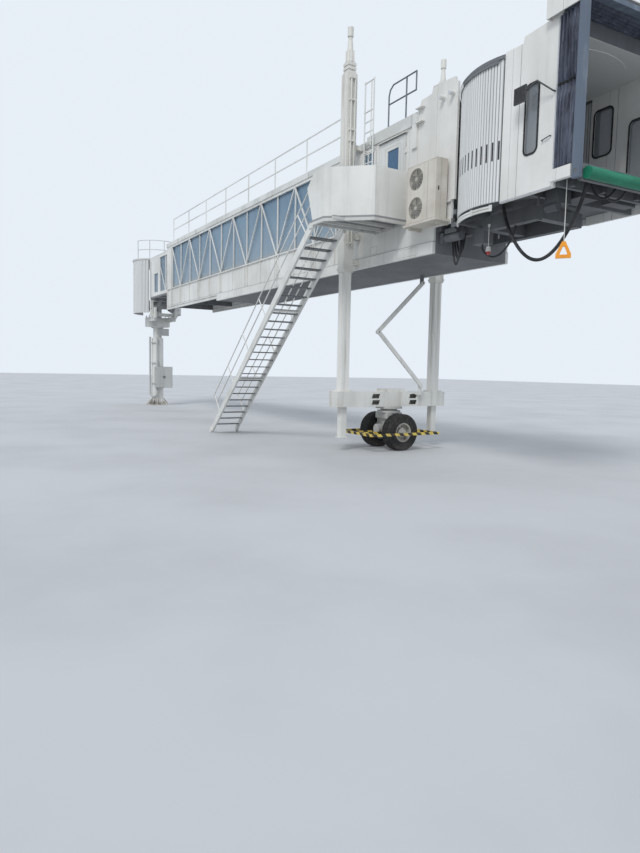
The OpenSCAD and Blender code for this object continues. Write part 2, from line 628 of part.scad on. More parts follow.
rim_h = 120;
landing_floor_z = door_z0;
landing_cut = 850;
landing_in = outer_y - 30;
guard_in = outer_y + 22;

// The landing's plan: a rectangle with one corner cut off
function landing_plan(inset) = [
  [landing_x0 + inset, -landing_in],
  [landing_x0 + inset, -landing_y + inset],
  [landing_x1 - landing_cut - inset * 0.42, -landing_y + inset],
  [landing_x1 - inset, -landing_y + landing_cut * 1.1 + inset * 0.42],
  [landing_x1 - inset, -landing_in]];

module landing_floor() color(steel_grey) {
  translate([0, 0, landing_floor_z - rim_h]) linear_extrude(height = rim_h) difference() {
    polygon(landing_plan(0));
    polygon(landing_plan(70));
  }
  difference() {
    translate([0, 0, landing_floor_z - 35]) linear_extrude(height = 30) polygon(landing_plan(60));
    for (i = [0:11]) span([landing_x0 + 120 + i * 95, -landing_y + 500, landing_floor_z - 40], [landing_x0 + 160 + i * 95, -outer_y - 120, landing_floor_z]);
  }
  for (x = [landing_x0 + 350, landing_x0 + 850]) span([x, -landing_y + 60, landing_floor_z - rim_h], [x + 60, -landing_in, landing_floor_z - 30]);
  span([landing_x0 + 10, -landing_in - 60, landing_floor_z - rim_h], [landing_x1 - 10, -landing_in, landing_floor_z - 30]);
  // The lugs and pins that the stair hangs on
  for (s = [-1, 1]) {
    y = stair_yc + s * (stair_w / 2 + stringer_t + 15);
    span([stair_hinge_x - 60, y - 10, stair_top_z - 60], [landing_x0 + 5, y + 10, landing_floor_z - 10]);
    translate([stair_hinge_x, y - s * 8, stair_top_z]) rotate([s * 90, 0, 0]) cylinder(d = stair_pin_d, h = stringer_t + 15, $fn = 32);
  }
}

parapet_t = 40;
parapet_z1 = landing_floor_z + parapet_h;

module landing_parapet() color(white) {
  ax = landing_x1 - landing_cut;
  ay = -landing_y;
  bx = landing_x1;
  by = -landing_y + landing_cut * 1.1;
  plate_xz([[landing_x0, landing_floor_z], [ax, landing_floor_z], [ax, parapet_z1], [landing_x0 + 60, parapet_z1],
    [landing_x0 - 280, landing_floor_z + 840]], ay, parapet_t);
  translate([0, 0, landing_floor_z]) linear_extrude(height = parapet_h)
    polygon([[ax - 10, ay], [ax, ay], [bx, by], [bx, by + 10], [bx - parapet_t, by + 20], [ax - 20, ay + parapet_t]]);
  span([bx - parapet_t, by, landing_floor_z], [bx, -guard_in, parapet_z1]);
  span([landing_x0, -landing_y + stair_w + 210, landing_floor_z], [landing_x0 + parapet_t, -guard_in, parapet_z1]);
}

ac_w = 1060;
ac_d = 320;
ac_h = 1350;
ac_x0 = 25750;
ac_z0 = 5780;
ac_y1 = -outer_y - 60;
fan_d = 500;

module air_conditioner() color("#c8c3bc") {
  difference() {
    translate([ac_x0, ac_y1 - ac_d, ac_z0]) cube([ac_w, ac_d, ac_h]);
    for (z = [0.26, 0.75] * ac_h) translate([ac_x0 + fan_d / 2 + 80, ac_y1 - ac_d - 1, ac_z0 + z]) rotate([-90, 0, 0]) cylinder(d = fan_d, h = 60, $fn = 64);
  }
  // The shelf and its brackets
  span([ac_x0 - 60, ac_y1 - ac_d - 50, ac_z0 - 50], [ac_x0 + ac_w + 60, -girder_in - 60, ac_z0]);
  for (x = [ac_x0 + 20, ac_x0 + ac_w - 80]) span([x, ac_y1 - ac_d + 60, ac_z0 - 110], [x + 60, -girder_in - 60, ac_z0 - 45]);
}

ring_r = 950;
beam_y = 640;
ring_h = 120;
cab_deck_t = 100;
ring_top = floor_z - cab_deck_t - seat;

module cab_slew_ring() color(steel_grey) {
  translate([cab_x, 0, ring_top - ring_h]) difference() {
    cylinder(r = ring_r, h = ring_h, $fn = 96);
    translate([0, 0, -1]) cylinder(r = ring_r - 160, h = ring_h + 2, $fn = 96);
  }
  for (s = [-1, 1]) span([girder_x1, s * beam_y - 90, ring_top - 420], [cab_x + 700, s * beam_y + 90, ring_top - ring_h]);
  for (x = [27300, 28700]) span([x, -beam_y + 80, ring_top - 380], [x + 200, beam_y - 80, ring_top - ring_h - 5]);
  // The slewing motor and its boxes
  translate([26420, -980, 5440]) rotate([0, 90, 0]) cylinder(d = 200, h = 560, $fn = 48);
  span([26340, -1090, 5330], [26460, -870, 5560]);
  span([26500, -1080, 5530], [26900, -700, 5640]);
  span([girder_x1, -1120, 5610], [26420, -800, 5760]);
  span([27060, -720, 5230], [27420, -420, 5490]);
  // The two rails under the round curtain and their brackets
  for (z = [5600, 5655]) translate([cab_x, 0, z]) arc_wall(cab_slat_r, cab_slat_r + 36, 223, 262, 42);
  span([side_x1, -girder_in - 60, 5600], [27120, -girder_in, 5690]);
  span([side_x1, -girder_in - 60, 5685], [side_x1 + 60, -girder_in, 5800]);
  span([cab_x - 900, -1400, 5560], [cab_x - 840, -beam_y, 5605]);
}

// A swept tube with n sides along a list of points, none of which runs along ref
function unit(v) = v / norm(v);
function tangent(p, i) = unit(p[min(i + 1, len(p) - 1)] - p[max(i - 1, 0)]);
function ring_at(p, i, r, n, ref) = let (t = tangent(p, i), u = unit(cross(t, ref)), v = cross(t, u))
  [for (k = [0:n - 1]) p[i] + r * (cos(360 * k / n) * u + sin(360 * k / n) * v)];
module tube(p, d, ref, n = 8) {
  m = len(p);
  points = [for (i = [0:m - 1]) each ring_at(p, i, d / 2, n, ref)];
  walls = [for (i = [0:m - 2], k = [0:n - 1]) [i * n + k, (i + 1) * n + k, (i + 1) * n + (k + 1) % n, i * n + (k + 1) % n]];
  cap0 = [[for (k = [0:n - 1]) k]];
  cap1 = [[for (k = [n - 1:-1:0]) (m - 1) * n + k]];
  polyhedron(points = points, faces = concat(walls, cap0, cap1), convexity = 4);
}

// A cable that drops from a, sags and rises to b
function loop(a, b, drop, n) = concat([a, a - [0, 0, 40]],
  [for (i = [0:n]) let (t = i / n) a + t * (b - a) - [0, 0, 80 + drop * pow(sin(180 * t), 0.7)]],
  [b - [0, 0, 40], b]);

cable_d = 45;
motor_z = 5530 - seat;
box_z = 5230 - seat;
beam_under_z = ring_top - 420 - seat;

module tunnel_cables() color("#1d1f21") {
  // Loops under the drive motor, and the one from the box to the slewing beam
  for (k = [0:2]) tube(loop([26530 + k * 30, -845 + k * 40, motor_z], [26820 + k * 20, -845 + k * 40, motor_z], 620 - k * 130, 24), cable_d, [0, 1, 0]);
  tube(loop([27240, -570, box_z], [28240, -600, beam_under_z], 360, 24), cable_d, [0, 1, 0]);
}

// Lift carriage

column_top = 6250;
beam_top_z = beam_bottom_z + beam_h;
beam_half_x = 225;
beam_half_y = 1950;
leg_w = 190;
leg_bottom_z = 400;

module lift_columns() color(white) both_sides() translate([carriage_x, -column_y, 0]) {
  span([-column_w / 2, -column_w / 2, beam_top_z], [column_w / 2, column_w / 2, column_top]);
  span([-200, -200, beam_top_z], [200, 200, beam_top_z + 40]);
  // Wear pads near the column's top
  for (a = [0:90:270]) rotate([0, 0, a]) span([column_w / 2 - 1, -70, column_top - 200], [sleeve_w / 2 - sleeve_wall - seat, 70, column_top]);
}

// A leaning slot through the beam's webs
module beam_slot(y, z) {
  translate([-beam_half_x - 1, y, z]) rotate([90, 0, 90]) linear_extrude(height = 2 * beam_half_x + 2)
    polygon([[-150, 0], [110, 0], [150, 130], [-110, 130]]);
}

module carriage_beam() color(white) translate([carriage_x, 0, 0]) {
  difference() {
    span([-beam_half_x, -beam_half_y, beam_bottom_z], [beam_half_x, beam_half_y, beam_top_z]);
    span([-beam_half_x + 20, -beam_half_y + 20, beam_bottom_z + 20], [beam_half_x - 20, beam_half_y - 20, beam_top_z - 20]);
    for (y = [-640, 720]) for (z = [beam_bottom_z + 60, beam_bottom_z + 240]) beam_slot(y, z);
  }
  both_sides() {
    span([-leg_w / 2, -column_y - leg_w / 2, leg_bottom_z], [leg_w / 2, -column_y + leg_w / 2, beam_bottom_z]);
    span([-140, -column_y - 140, leg_bottom_z - 25], [140, -column_y + 140, leg_bottom_z]);
  }
  // The bracket and pin of the cable arm
  span([beam_half_x - 5, arm_low[0] - 60, beam_top_z - 80], [arm_x - carriage_x + arm_t, arm_low[0] + 60, beam_top_z]);
  span([arm_x - carriage_x + arm_t - 40, arm_low[0] - 60, beam_top_z - 80], [arm_x - carriage_x + arm_t, arm_low[0] + 60, arm_low[1] + 60]);
  translate([arm_x - carriage_x + arm_t - 5, arm_low[0], arm_low[1]]) rotate([0, 90, 0]) cylinder(d = arm_pin_d, h = arm_t + 20, $fn = 32);
  // The cable tray on the beam
  span([-150, -350, beam_top_z], [150, 450, beam_top_z + 30]);
  for (s = [-1, 1]) span([s * 150 - 6, -350, beam_top_z], [s * 150 + 6, 450, beam_top_z + 90]);
}

// Bogie

axle_z = tyre_d / 2;
turn_r = 390;

module bogie_frame() color(steel_grey) translate([carriage_x, 0, 0]) {
  translate([0, 0, beam_bottom_z - seat - 60]) cylinder(r = turn_r, h = 60, $fn = 64);
  translate([0, 0, beam_bottom_z - 130]) cylinder(r = 250, h = 90, $fn = 64);
  translate([0, 0, beam_bottom_z - 180]) cylinder(r = 340, h = 60, $fn = 64);
  span([-300, -260, 900], [300, 260, beam_bottom_z - 170]);
  span([-310, -190, 320], [310, 190, 905]);
  for (s = [-1, 1]) translate([0, s * 180, axle_z + 60]) rotate([-s * 90, 0, 0]) cylinder(d = 300, h = 260, $fn = 48);
  translate([-770, 0, axle_z]) rotate([0, 90, 0]) cylinder(d = 130, h = 1540, $fn = 48);
}

bumper_x = 850;
bumper_y = 1180;
bumper_z = 455;
bumper_bar = 70;

module bumper_frame() color("#d8b23a") translate([carriage_x, 0, bumper_z]) {
  for (s = [-1, 1]) span([s * bumper_x - bumper_bar / 2, -bumper_y - bumper_bar / 2, 0], [s * bumper_x + bumper_bar / 2, bumper_y + bumper_bar / 2, bumper_bar]);
  for (s = [-1, 1]) span([-bumper_x, s * bumper_y - bumper_bar / 2, 0], [bumper_x, s * bumper_y + bumper_bar / 2, bumper_bar]);
  for (s = [-1, 1]) for (x = [-210, 210]) span([x - 30, s * 190, 0], [x + 30, s * bumper_y, bumper_bar]);
}

rim_d = 560;
hub_gap = 0.3;

// A tyre about the X axis with rounded shoulders
module tyre_at(x) {
  translate([x, 0, axle_z]) rotate([0, 90, 0]) rotate_extrude($fn = 96) difference() {
    union() {
      translate([rim_d / 2, -tyre_w / 2]) square([tyre_d / 2 - rim_d / 2 - 60, tyre_w]);
      translate([rim_d / 2, -tyre_w / 2 + 60]) square([tyre_d / 2 - rim_d / 2, tyre_w - 120]);
      for (s = [-1, 1]) translate([tyre_d / 2 - 60, s * (tyre_w / 2 - 60)]) circle(r = 60, $fn = 32);
    }
    for (y = [-85, 0, 85]) translate([tyre_d / 2 - 12, y - 8]) square([20, 16]);
  }
}

module rim_at(x, s) {
  translate([x, 0, axle_z]) rotate([0, 90, 0]) rotate_extrude($fn = 96) {
    translate([65 + hub_gap, -120]) square([60, 240 ]);
    translate([100, -20]) square([rim_d / 2 - 105, 40]);
    translate([rim_d / 2 - 40, -tyre_w / 2 + 20]) square([40, tyre_w - 40]);
  }
}

module tyre_front() color("#1b1c1d") translate([carriage_x, 0, 0]) tyre_at(wheel_track / 2);

module rim_front() color(shade_white) translate([carriage_x, 0, 0]) rim_at(wheel_track / 2, 1);

module tyre_rear() color("#1b1c1d") translate([carriage_x, 0, 0]) tyre_at(-wheel_track / 2);

module rim_rear() color(shade_white) translate([carriage_x, 0, 0]) rim_at(-wheel_track / 2, -1);

// Cab

// Places its children at the cab's turning axis, turned as the cab is
module on_cab() {
  translate([cab_x, 0, 0]) rotate([0, 0, cab_yaw]) children();
}

cab_slat_r = cab_r + 10;
cab_slat_t = 20;
canopy_pin_x = canopy_reach - 80;
far_wall_x0 = 150;
cab_wall_x0 = sqrt(pow(cab_slat_r + cab_slat_t, 2) - pow(cab_half_w, 2));
cab_wall_t = 60;
cab_in = cab_half_w - cab_wall_t;
canopy_pin_z = 5850;
canopy_pin_d = 80;

module cab_floor() color(steel_grey) on_cab() {
  difference() {
    translate([0, 0, floor_z - cab_deck_t]) cylinder(r = cab_r, h = cab_deck_t, $fn = 240);
    span([cab_wall_x0, -cab_half_w - 200, floor_z - cab_deck_t - 1], [cab_front, -cab_in, floor_z + 1]);
    span([far_wall_x0, cab_in, floor_z - cab_deck_t - 1], [cab_front, cab_half_w + 200, floor_z + 1]);
  }
  span([0, -cab_in, floor_z - cab_deck_t], [canopy_reach - 60, cab_in, floor_z]);
  for (x = [1250, 1950]) span([x, -cab_in, cab_bottom_z + 10], [x + 80, cab_in, floor_z - cab_deck_t]);
  // The front beam that carries the bumper
  span([canopy_reach - 150, -cab_in + 20, cab_bottom_z + 10], [canopy_reach - 60, cab_in - 20, floor_z - cab_deck_t + 5]);
  // The lugs and pins that the canopy's frame tilts on
  for (s = [-1, 1]) {
    span([cab_front + 60, s * (cab_in - 5), canopy_pin_z - 50], [canopy_reach - 65, s * (cab_half_w + 2), floor_z]);
    translate([canopy_pin_x, s * (cab_half_w - 5), canopy_pin_z]) rotate([-s * 90, 0, 0]) cylinder(d = canopy_pin_d, h = 100, $fn = 48);
  }
}

// A window outline with round ends, cut through a side wall
module cab_window(x0, x1, z0, z1, depth) {
  r = 110;
  rotate([90, 0, 0]) translate([0, 0, -depth / 2]) linear_extrude(height = depth) {
    translate([x0 + r, z0]) square([x1 - x0 - 2 * r, z1 - z0]);
    translate([x0, z0 + r]) square([x1 - x0, z1 - z0 - 2 * r]);
    for (x = [x0 + r, x1 - r]) for (z = [z0 + r, z1 - r]) translate([x, z]) circle(r = r, $fn = 48);
  }
}

// Its children are cut or filled at the near window and at the two far windows
near_win = [1170, 1500, 6470, 7770];
far_wins = [[240, 720, 7180, 8200], [1160, 1680, 6480, 7700]];
module cab_windows(depth) {
  translate([0, -cab_half_w + cab_wall_t / 2, 0]) cab_window(near_win[0], near_win[1], near_win[2], near_win[3], depth);
  for (w = far_wins) translate([0, cab_half_w - cab_wall_t / 2, 0]) cab_window(w[0], w[1], w[2], w[3], depth);
}

hood_x0 = 1700;
hood_x1 = 2425;
hood_z0 = 8720;
hood_top_z = 9120;
hood_half_w = 1665;
hood_t = 25;

module cab_walls() color(white) on_cab() difference() {
  union() {
    plate_xz([[cab_wall_x0, cab_bottom_z], [cab_front, cab_bottom_z], [cab_front, hood_top_z], [hood_x0, hood_top_z], [hood_x0, 8750],
      [1065, 8725], [1040, 8610], [cab_wall_x0, 8640]], -cab_half_w, cab_wall_t);
    plate_xz([[far_wall_x0, cab_bottom_z], [cab_front, cab_bottom_z], [cab_front, hood_top_z], [hood_x0, hood_top_z], [hood_x0, 8750],
      [far_wall_x0, 8640]], cab_in, cab_wall_t);
    // The hood over the folds of the canopy, which stands proud of both walls
    both_sides() {
      span([hood_x0, -hood_half_w, hood_z0], [hood_x1, -hood_half_w + hood_t, hood_top_z]);
      span([hood_x0, -hood_half_w, hood_z0], [hood_x0 + hood_t, -cab_in - 5, hood_top_z]);
    }
    span([hood_x0, -hood_half_w, hood_top_z - hood_t], [hood_x1, hood_half_w, hood_top_z]);
    // The tray under the folds of the canopy
    both_sides() span([cab_front - 5, -cab_half_w - 90, floor_z - 210], [cab_front + 450, -cab_half_w - 4, floor_z - seat]);
  }
  cab_windows(cab_wall_t + 20);
}

module cab_glazing() color(sky_glass, 0.5) on_cab() cab_windows(glass_t);

module cab_roof() color(dark_grey) on_cab() {
  difference() {
    union() {
      translate([0, 0, cab_top_z - 60]) cylinder(r = cab_r + 80, h = 40, $fn = 240);
      translate([0, 0, cab_top_z - 130]) arc_wall(cab_r + 60, cab_r + 76, 82, 286, 75);
      translate([0, 0, cab_top_z - 25]) cylinder(r = cab_r + 30, h = 60, $fn = 240);
      span([0, -cab_in - 20, cab_top_z - 50], [cab_front, cab_in + 20, cab_top_z + 28]);
    }
    span([cab_wall_x0 - seat, -cab_half_w - 300, cab_bottom_z], [cab_front + 1, -cab_in, canopy_top_z]);
    span([far_wall_x0 - seat, cab_in, cab_bottom_z], [cab_front + 1, cab_half_w + 300, canopy_top_z]);
  }
  // The fixed wall behind the canopy's hood
  span([cab_front - 60, -cab_in + 1, cab_top_z + 20], [cab_front - 1, cab_in - 1, canopy_top_z - 40]);
}

cab_slat_n = 24;
cab_slat_a1 = 133.5;
cab_slat_z0 = 5760;
cab_slat_z1 = cab_top_z - 60 - seat;

// The ribbed slat curtain between the tunnel and one side wall of the cab
module cab_slats(a0) {
  translate([cab_x, 0, cab_slat_z0]) linear_extrude(height = cab_slat_z1 - cab_slat_z0)
    polygon(slat_plan(cab_slat_r, cab_slat_r + cab_slat_t, cab_slat_r + cab_slat_t + 16, a0, cab_slat_a1, cab_slat_n));
}

module cab_curtain_near() color(shade_white) mirror([0, 1, 0]) cab_slats(70.5 - cab_yaw);

module cab_curtain_far() color(shade_white) cab_slats(80 + cab_yaw);

module cab_fittings() color(dark_grey) on_cab() {
  // The square mirror on its arm
  span([1090, -cab_half_w - 240, 7390], [1390, -cab_half_w - 200, 7690]);
  bent_rod([[1240, -cab_half_w - 210, 7540], [1640, -cab_half_w - 210, 7660], [1890, -cab_half_w - 60, 7430],
    [1890, -cab_half_w - seat, 7430]], 30);
  // Motor, boxes and brackets under the floor
  span([1420, -1180, under_z], [1740, -820, floor_z - cab_deck_t]);
  span([1380, -760, under_z + 120], [1900, -260, floor_z - cab_deck_t]);
  translate([1440, -1140, under_z - 60]) rotate([0, 90, 0]) cylinder(d = 170, h = 280, $fn = 48);
  span([1600, 200, under_z + 150], [1850, 900, floor_z - cab_deck_t]);
  for (y = [-1350, -520, 450, 1250]) span([2130, y, under_z + 160], [2230, y + 90, floor_z - cab_deck_t]);
  rod([1376, -1300, floor_z - cab_deck_t], [1376, -1300, under_z], 40);
}

under_z = 5540;
thick_d = 70;

module cab_cables() color("#1d1f21") on_cab() {
  // The thick supply cable's loop, two thin ones and the cord of the pendant
  tube(loop([150, -1045, floor_z - cab_deck_t - seat], [2280, -1045, floor_z - cab_deck_t - seat], 1270, 32), thick_d, [0, 1, 0]);
  for (k = [0:1]) tube(loop([2090, -700 + k * 300, floor_z - cab_deck_t - seat], [2370, -350 + k * 300, floor_z - cab_deck_t - seat], 240, 20), cable_d, [0, 1, 0]);
  tube([for (i = [0:12]) [pendant_x, pendant_y, pendant_top_z + seat + (floor_z - cab_deck_t - 2 * seat - pendant_top_z) * i / 12]], 16, [0, 1, 0]);
}

pendant_x = 2150;
pendant_y = -1420;
pendant_top_z = 4710;
pendant_w = 270;
pendant_t = 60;

// The orange pull handle: a rounded frame that hangs on the cord
module pendant_handle() color("#f0a030") on_cab() translate([pendant_x, pendant_y, pendant_top_z]) rotate([0, 0, 40]) difference() {
  plate_xz([[-30, -0], [30, -0], [pendant_w / 2, -230], [pendant_w / 2, -300], [-pendant_w / 2, -300], [-pendant_w / 2, -230]], -pendant_t / 2, pendant_t);
  plate_xz([[-14, -90], [14, -90], [pendant_w / 2 - 70, -215], [pendant_w / 2 - 70, -240], [-pendant_w / 2 + 70, -240], [-pendant_w / 2 + 70, -215]], -pendant_t, 2 * pendant_t);
}

bumper_r = 110;
bumper_centre_z = 5820;

module cab_bumper() color("#14704f") on_cab() difference() {
  translate([canopy_reach + 30, -cab_in + 20, bumper_centre_z]) rotate([-90, 0, 0]) cylinder(r = bumper_r, h = 2 * cab_in - 40, $fn = 48);
  span([canopy_reach - 200, -cab_half_w, floor_z - 300], [canopy_reach - 60, cab_half_w, floor_z + 200]);
}

post_w = 90;
post_d = 160;

module canopy_frame() color("#66707a") on_cab() difference() {
  union() {
    both_sides() span([canopy_reach - post_d, -cab_half_w - post_w - 10, cab_bottom_z + 20], [canopy_reach, -cab_half_w - 10, canopy_top_z]);
    span([canopy_reach - post_d, -cab_half_w - post_w, canopy_top_z - post_w], [canopy_reach, cab_half_w + post_w, canopy_top_z]);
  }
  for (s = [-1, 1]) translate([canopy_pin_x, s * (cab_half_w - 20), canopy_pin_z]) rotate([-s * 90, 0, 0])
    cylinder(d = canopy_pin_d + 2 * pin_play, h = 200, $fn = 48);
}

// The folded fabric from the cab's mouth to the front frame
module canopy_bellows() color("#46505c") on_cab() {
  x0 = cab_front + seat;
  x1 = canopy_reach - post_d;
  both_sides() span([x0, -cab_half_w - 70, floor_z], [x1, -cab_half_w + 30, canopy_top_z - 20]);
  span([x0, -cab_half_w - 30, canopy_top_z - 90], [x1, cab_half_w + 30, canopy_top_z - 20]);
}

// Stair

stair_top_z = 5930;
stair_hinge_x = landing_x0 - 145;
stair_pin_d = 60;
stair_yc = -landing_y + 100 + stair_w / 2;
foot_r = 90;
stair_drop = stair_top_z - foot_r;
stair_a = atan2(stair_drop, stair_run);
stair_l = norm([stair_run, stair_drop]);
stringer_h = 200;
stringer_t = 60;

// Places its children on the flight: x runs down the slope, z stands off it
module on_flight() {
  translate([stair_hinge_x, stair_yc, stair_top_z]) rotate([0, 0, 180]) rotate([0, stair_a, 0]) children();
}

module stair_stringers() color(white) {
  on_flight() for (s = [-1, 1]) difference() {
    union() {
      span([0, s * stair_w / 2, -stringer_h / 2], [stair_l, s * (stair_w / 2 + stringer_t), stringer_h / 2]);
      translate([0, s * (stair_w / 2 + stringer_t / 2) - stringer_t / 2, 0]) rotate([-90, 0, 0]) cylinder(d = stringer_h, h = stringer_t, $fn = 64);
    }
    translate([0, s * (stair_w / 2 + stringer_t / 2) - stringer_t, 0]) rotate([-90, 0, 0]) cylinder(d = stair_pin_d + 2 * pin_play, h = 2 * stringer_t, $fn = 32);
  }
  for (s = [-1, 1]) translate([stair_hinge_x - stair_run, stair_yc + s * (stair_w / 2 + stringer_t), foot_r]) rotate([s > 0 ? -90 : 90, 0, 0]) cylinder(r = foot_r, h = 50, $fn = 48);
  on_flight() for (x = [8.4, 17.4] * stair_l / (tread_n + 1)) span([x, -stair_w / 2 - 5, -stringer_h / 2], [x + 60, stair_w / 2 + 5, -stringer_h / 2 + 60]);
}

module stair_treads() color("#b9bcbd") for (i = [1:tread_n]) {
  t = i / (tread_n + 1);
  translate([stair_hinge_x - stair_run * t, stair_yc, stair_top_z - stair_drop * t])
    span([-120, -stair_w / 2 + seat, -15], [120, stair_w / 2 - seat, 15]);
}

module stair_rails() color(white) on_flight() for (s = [-1, 1]) {
  y = s * (stair_w / 2 + stringer_t / 2);
  for (i = [0:5]) rod([300 + i * (stair_l - 1300) / 5, y, stringer_h / 2], [300 + i * (stair_l - 1300) / 5, y, 820], 34);
  for (z = [470, 820]) rod([-480, y, z], [stair_l - 900, y, z], 34);
}

// Service door

leaf_gap = 8;
leaf_t = 44;
leaf_y = -outer_y + 6;

door_win_x0 = door_x0 + 350;
door_win_x1 = door_win_x0 + 460;
door_win_z0 = 7250;
door_win_z1 = 7950;
knuckle_d = 26;
knuckle_x = door_x1 - 4;
knuckle_y = leaf_y - 14;
hinge_z = [6450, 7150, 7850];
hinge_l = 130;

module service_door() color(white) {
  difference() {
    span([door_x0 + leaf_gap, leaf_y, door_z0 + leaf_gap], [door_x1 - leaf_gap, leaf_y + leaf_t, door_z1 - leaf_gap]);
    span([door_win_x0, leaf_y - 1, door_win_z0], [door_win_x1, leaf_y + leaf_t + 1, door_win_z1]);
  }
  for (z = hinge_z) {
    translate([knuckle_x, knuckle_y, z]) cylinder(d = knuckle_d, h = hinge_l, $fn = 32);
    span([knuckle_x - 70, leaf_y - 12, z], [knuckle_x - 4, leaf_y + 1, z + hinge_l]);
  }
}

module door_glass() color(sky_glass, 0.5)
  span([door_win_x0, leaf_y + leaf_t / 2, door_win_z0], [door_win_x1, leaf_y + leaf_t / 2 + glass_t, door_win_z1]);

// Folding cable arm between the tunnel and the carriage beam

arm_x = carriage_x + 330;
arm_top = [850, 4880];
arm_low = [850, 1870];
arm_l = 2190;
arm_rise = (arm_top[1] - arm_low[1]) / 2;
arm_out = sqrt(arm_l * arm_l - arm_rise * arm_rise);
elbow = [arm_top[0] - arm_out, arm_top[1] - arm_rise];
arm_w = 110;
arm_t = 50;
arm_pin_d = 50;

// One link of the arm: a bar with round eyes, in the YZ plane
module arm_link(p, q, x0) {
  l = norm(q - p);
  a = atan2(q[1] - p[1], q[0] - p[0]);
  translate([x0, p[0], p[1]]) rotate([90, 0, 90]) rotate([0, 0, a]) difference() {
    union() {
      translate([0, -arm_w / 2, 0]) cube([l, arm_w, arm_t]);
      cylinder(d = arm_w, h = arm_t, $fn = 48);
      translate([l, 0, 0]) cylinder(d = arm_w, h = arm_t, $fn = 48);
    }
    for (x = [0, l]) translate([x, 0, -1]) cylinder(d = arm_pin_d + 2 * pin_play, h = arm_t + 2, $fn = 32);
  }
}

module cable_arm_upper() color(white) {
  arm_link(arm_top, elbow, arm_x);
}

module cable_arm_lower() color(white) {
  arm_link(elbow, arm_low, arm_x + arm_t + 10);
}

pedestal_column();
pedestal_services();
rotunda_floor();
rotunda_roof();
corridor_walls();
swing_yoke();
swing_portal();
rotunda_curtain_near();
rotunda_curtain_far();
inner_floor();
inner_side_near();
inner_side_far();
inner_glass();
inner_roof();
vestibule_bellows();
outer_floor();
outer_side_near();
outer_side_far();
outer_glass();
outer_roof();
front_wall_near();
front_wall_far();
roof_rails();
roof_guard();
lift_towers();
landing_floor();
landing_parapet();
air_conditioner();
cab_slew_ring();
tunnel_cables();
lift_columns();
carriage_beam();
bogie_frame();
bumper_frame();
tyre_front();
rim_front();
tyre_rear();
rim_rear();
cab_floor();
cab_walls();
cab_roof();
cab_glazing();
cab_curtain_near();
cab_curtain_far();
cab_fittings();
cab_cables();
pendant_handle();
cab_bumper();
canopy_frame();
canopy_bellows();
stair_stringers();
stair_treads();
stair_rails();
service_door();
door_glass();
cable_arm_upper();
cable_arm_lower();
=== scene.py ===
import bpy, bmesh, math
from mathutils import Matrix, Vector


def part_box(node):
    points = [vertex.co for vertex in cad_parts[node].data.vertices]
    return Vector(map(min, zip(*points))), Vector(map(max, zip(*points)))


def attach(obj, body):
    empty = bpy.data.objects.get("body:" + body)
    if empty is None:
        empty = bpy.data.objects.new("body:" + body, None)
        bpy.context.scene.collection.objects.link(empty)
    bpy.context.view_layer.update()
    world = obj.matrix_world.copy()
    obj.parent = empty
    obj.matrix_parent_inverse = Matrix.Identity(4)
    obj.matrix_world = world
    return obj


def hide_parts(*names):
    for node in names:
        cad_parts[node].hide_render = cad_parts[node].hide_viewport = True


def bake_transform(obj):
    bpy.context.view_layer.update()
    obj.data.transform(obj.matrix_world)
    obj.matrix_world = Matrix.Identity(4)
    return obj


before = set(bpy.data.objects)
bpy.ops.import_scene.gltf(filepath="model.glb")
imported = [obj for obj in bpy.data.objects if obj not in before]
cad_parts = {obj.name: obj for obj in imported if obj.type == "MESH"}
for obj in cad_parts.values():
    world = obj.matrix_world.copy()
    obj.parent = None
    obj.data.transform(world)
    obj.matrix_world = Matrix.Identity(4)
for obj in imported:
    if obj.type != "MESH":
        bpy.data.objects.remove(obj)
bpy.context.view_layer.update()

# The camera
# Stands on the apron to the right of the bridge's cab, a little above head height,
# and looks back along the tunnel towards the rotunda, as the photograph does.
yaw, pitch, roll = math.radians(31.0), math.radians(5.0), math.radians(1.15)
level_view = Vector((-math.cos(yaw), math.sin(yaw), 0))
level_right = Vector((math.sin(yaw), math.cos(yaw), 0))
view_dir = level_view * math.cos(pitch) - Vector((0, 0, 1)) * math.sin(pitch)
level_up = Vector((0, 0, 1)) * math.cos(pitch) + level_view * math.sin(pitch)
view_right = level_right * math.cos(roll) + level_up * math.sin(roll)
view_up = level_up * math.cos(roll) - level_right * math.sin(roll)
camera_data = bpy.data.cameras.new("camera")
camera_data.sensor_fit = "VERTICAL"
camera_data.sensor_height = 36.0
camera_data.lens = 36.0 * 640 / 853
camera_data.clip_end = 400
camera = bpy.data.objects.new("camera", camera_data)
bpy.context.scene.collection.objects.link(camera)
turn = Matrix((view_right, view_up, -view_dir)).transposed()
camera.matrix_world = Matrix.Translation((38.3, -11.5, 2.26)) @ turn.to_4x4()
bpy.context.scene.camera = camera


# The hanging cables
# Black rubber-sheathed power and signal cables in loops under the bridge's front and
# under the cab, and the thin white cord that carries the pull handle.
class Wire:
    """An output of a material's node. Arithmetic on it adds Math nodes."""

    def __init__(self, finish, socket):
        self.finish, self.socket = finish, socket

    def maths(self, operation, a, b):
        return self.finish.node("ShaderNodeMath", {"operation": operation}, {0: a, 1: b})

    def __add__(self, other): return self.maths("ADD", self, other)
    def __radd__(self, other): return self.maths("ADD", other, self)
    def __sub__(self, other): return self.maths("SUBTRACT", self, other)
    def __rsub__(self, other): return self.maths("SUBTRACT", other, self)
    def __mul__(self, other): return self.maths("MULTIPLY", self, other)
    def __rmul__(self, other): return self.maths("MULTIPLY", other, self)
    def __truediv__(self, other): return self.maths("DIVIDE", self, other)
    def __gt__(self, other): return self.maths("GREATER_THAN", self, other)
    def __lt__(self, other): return self.maths("LESS_THAN", self, other)


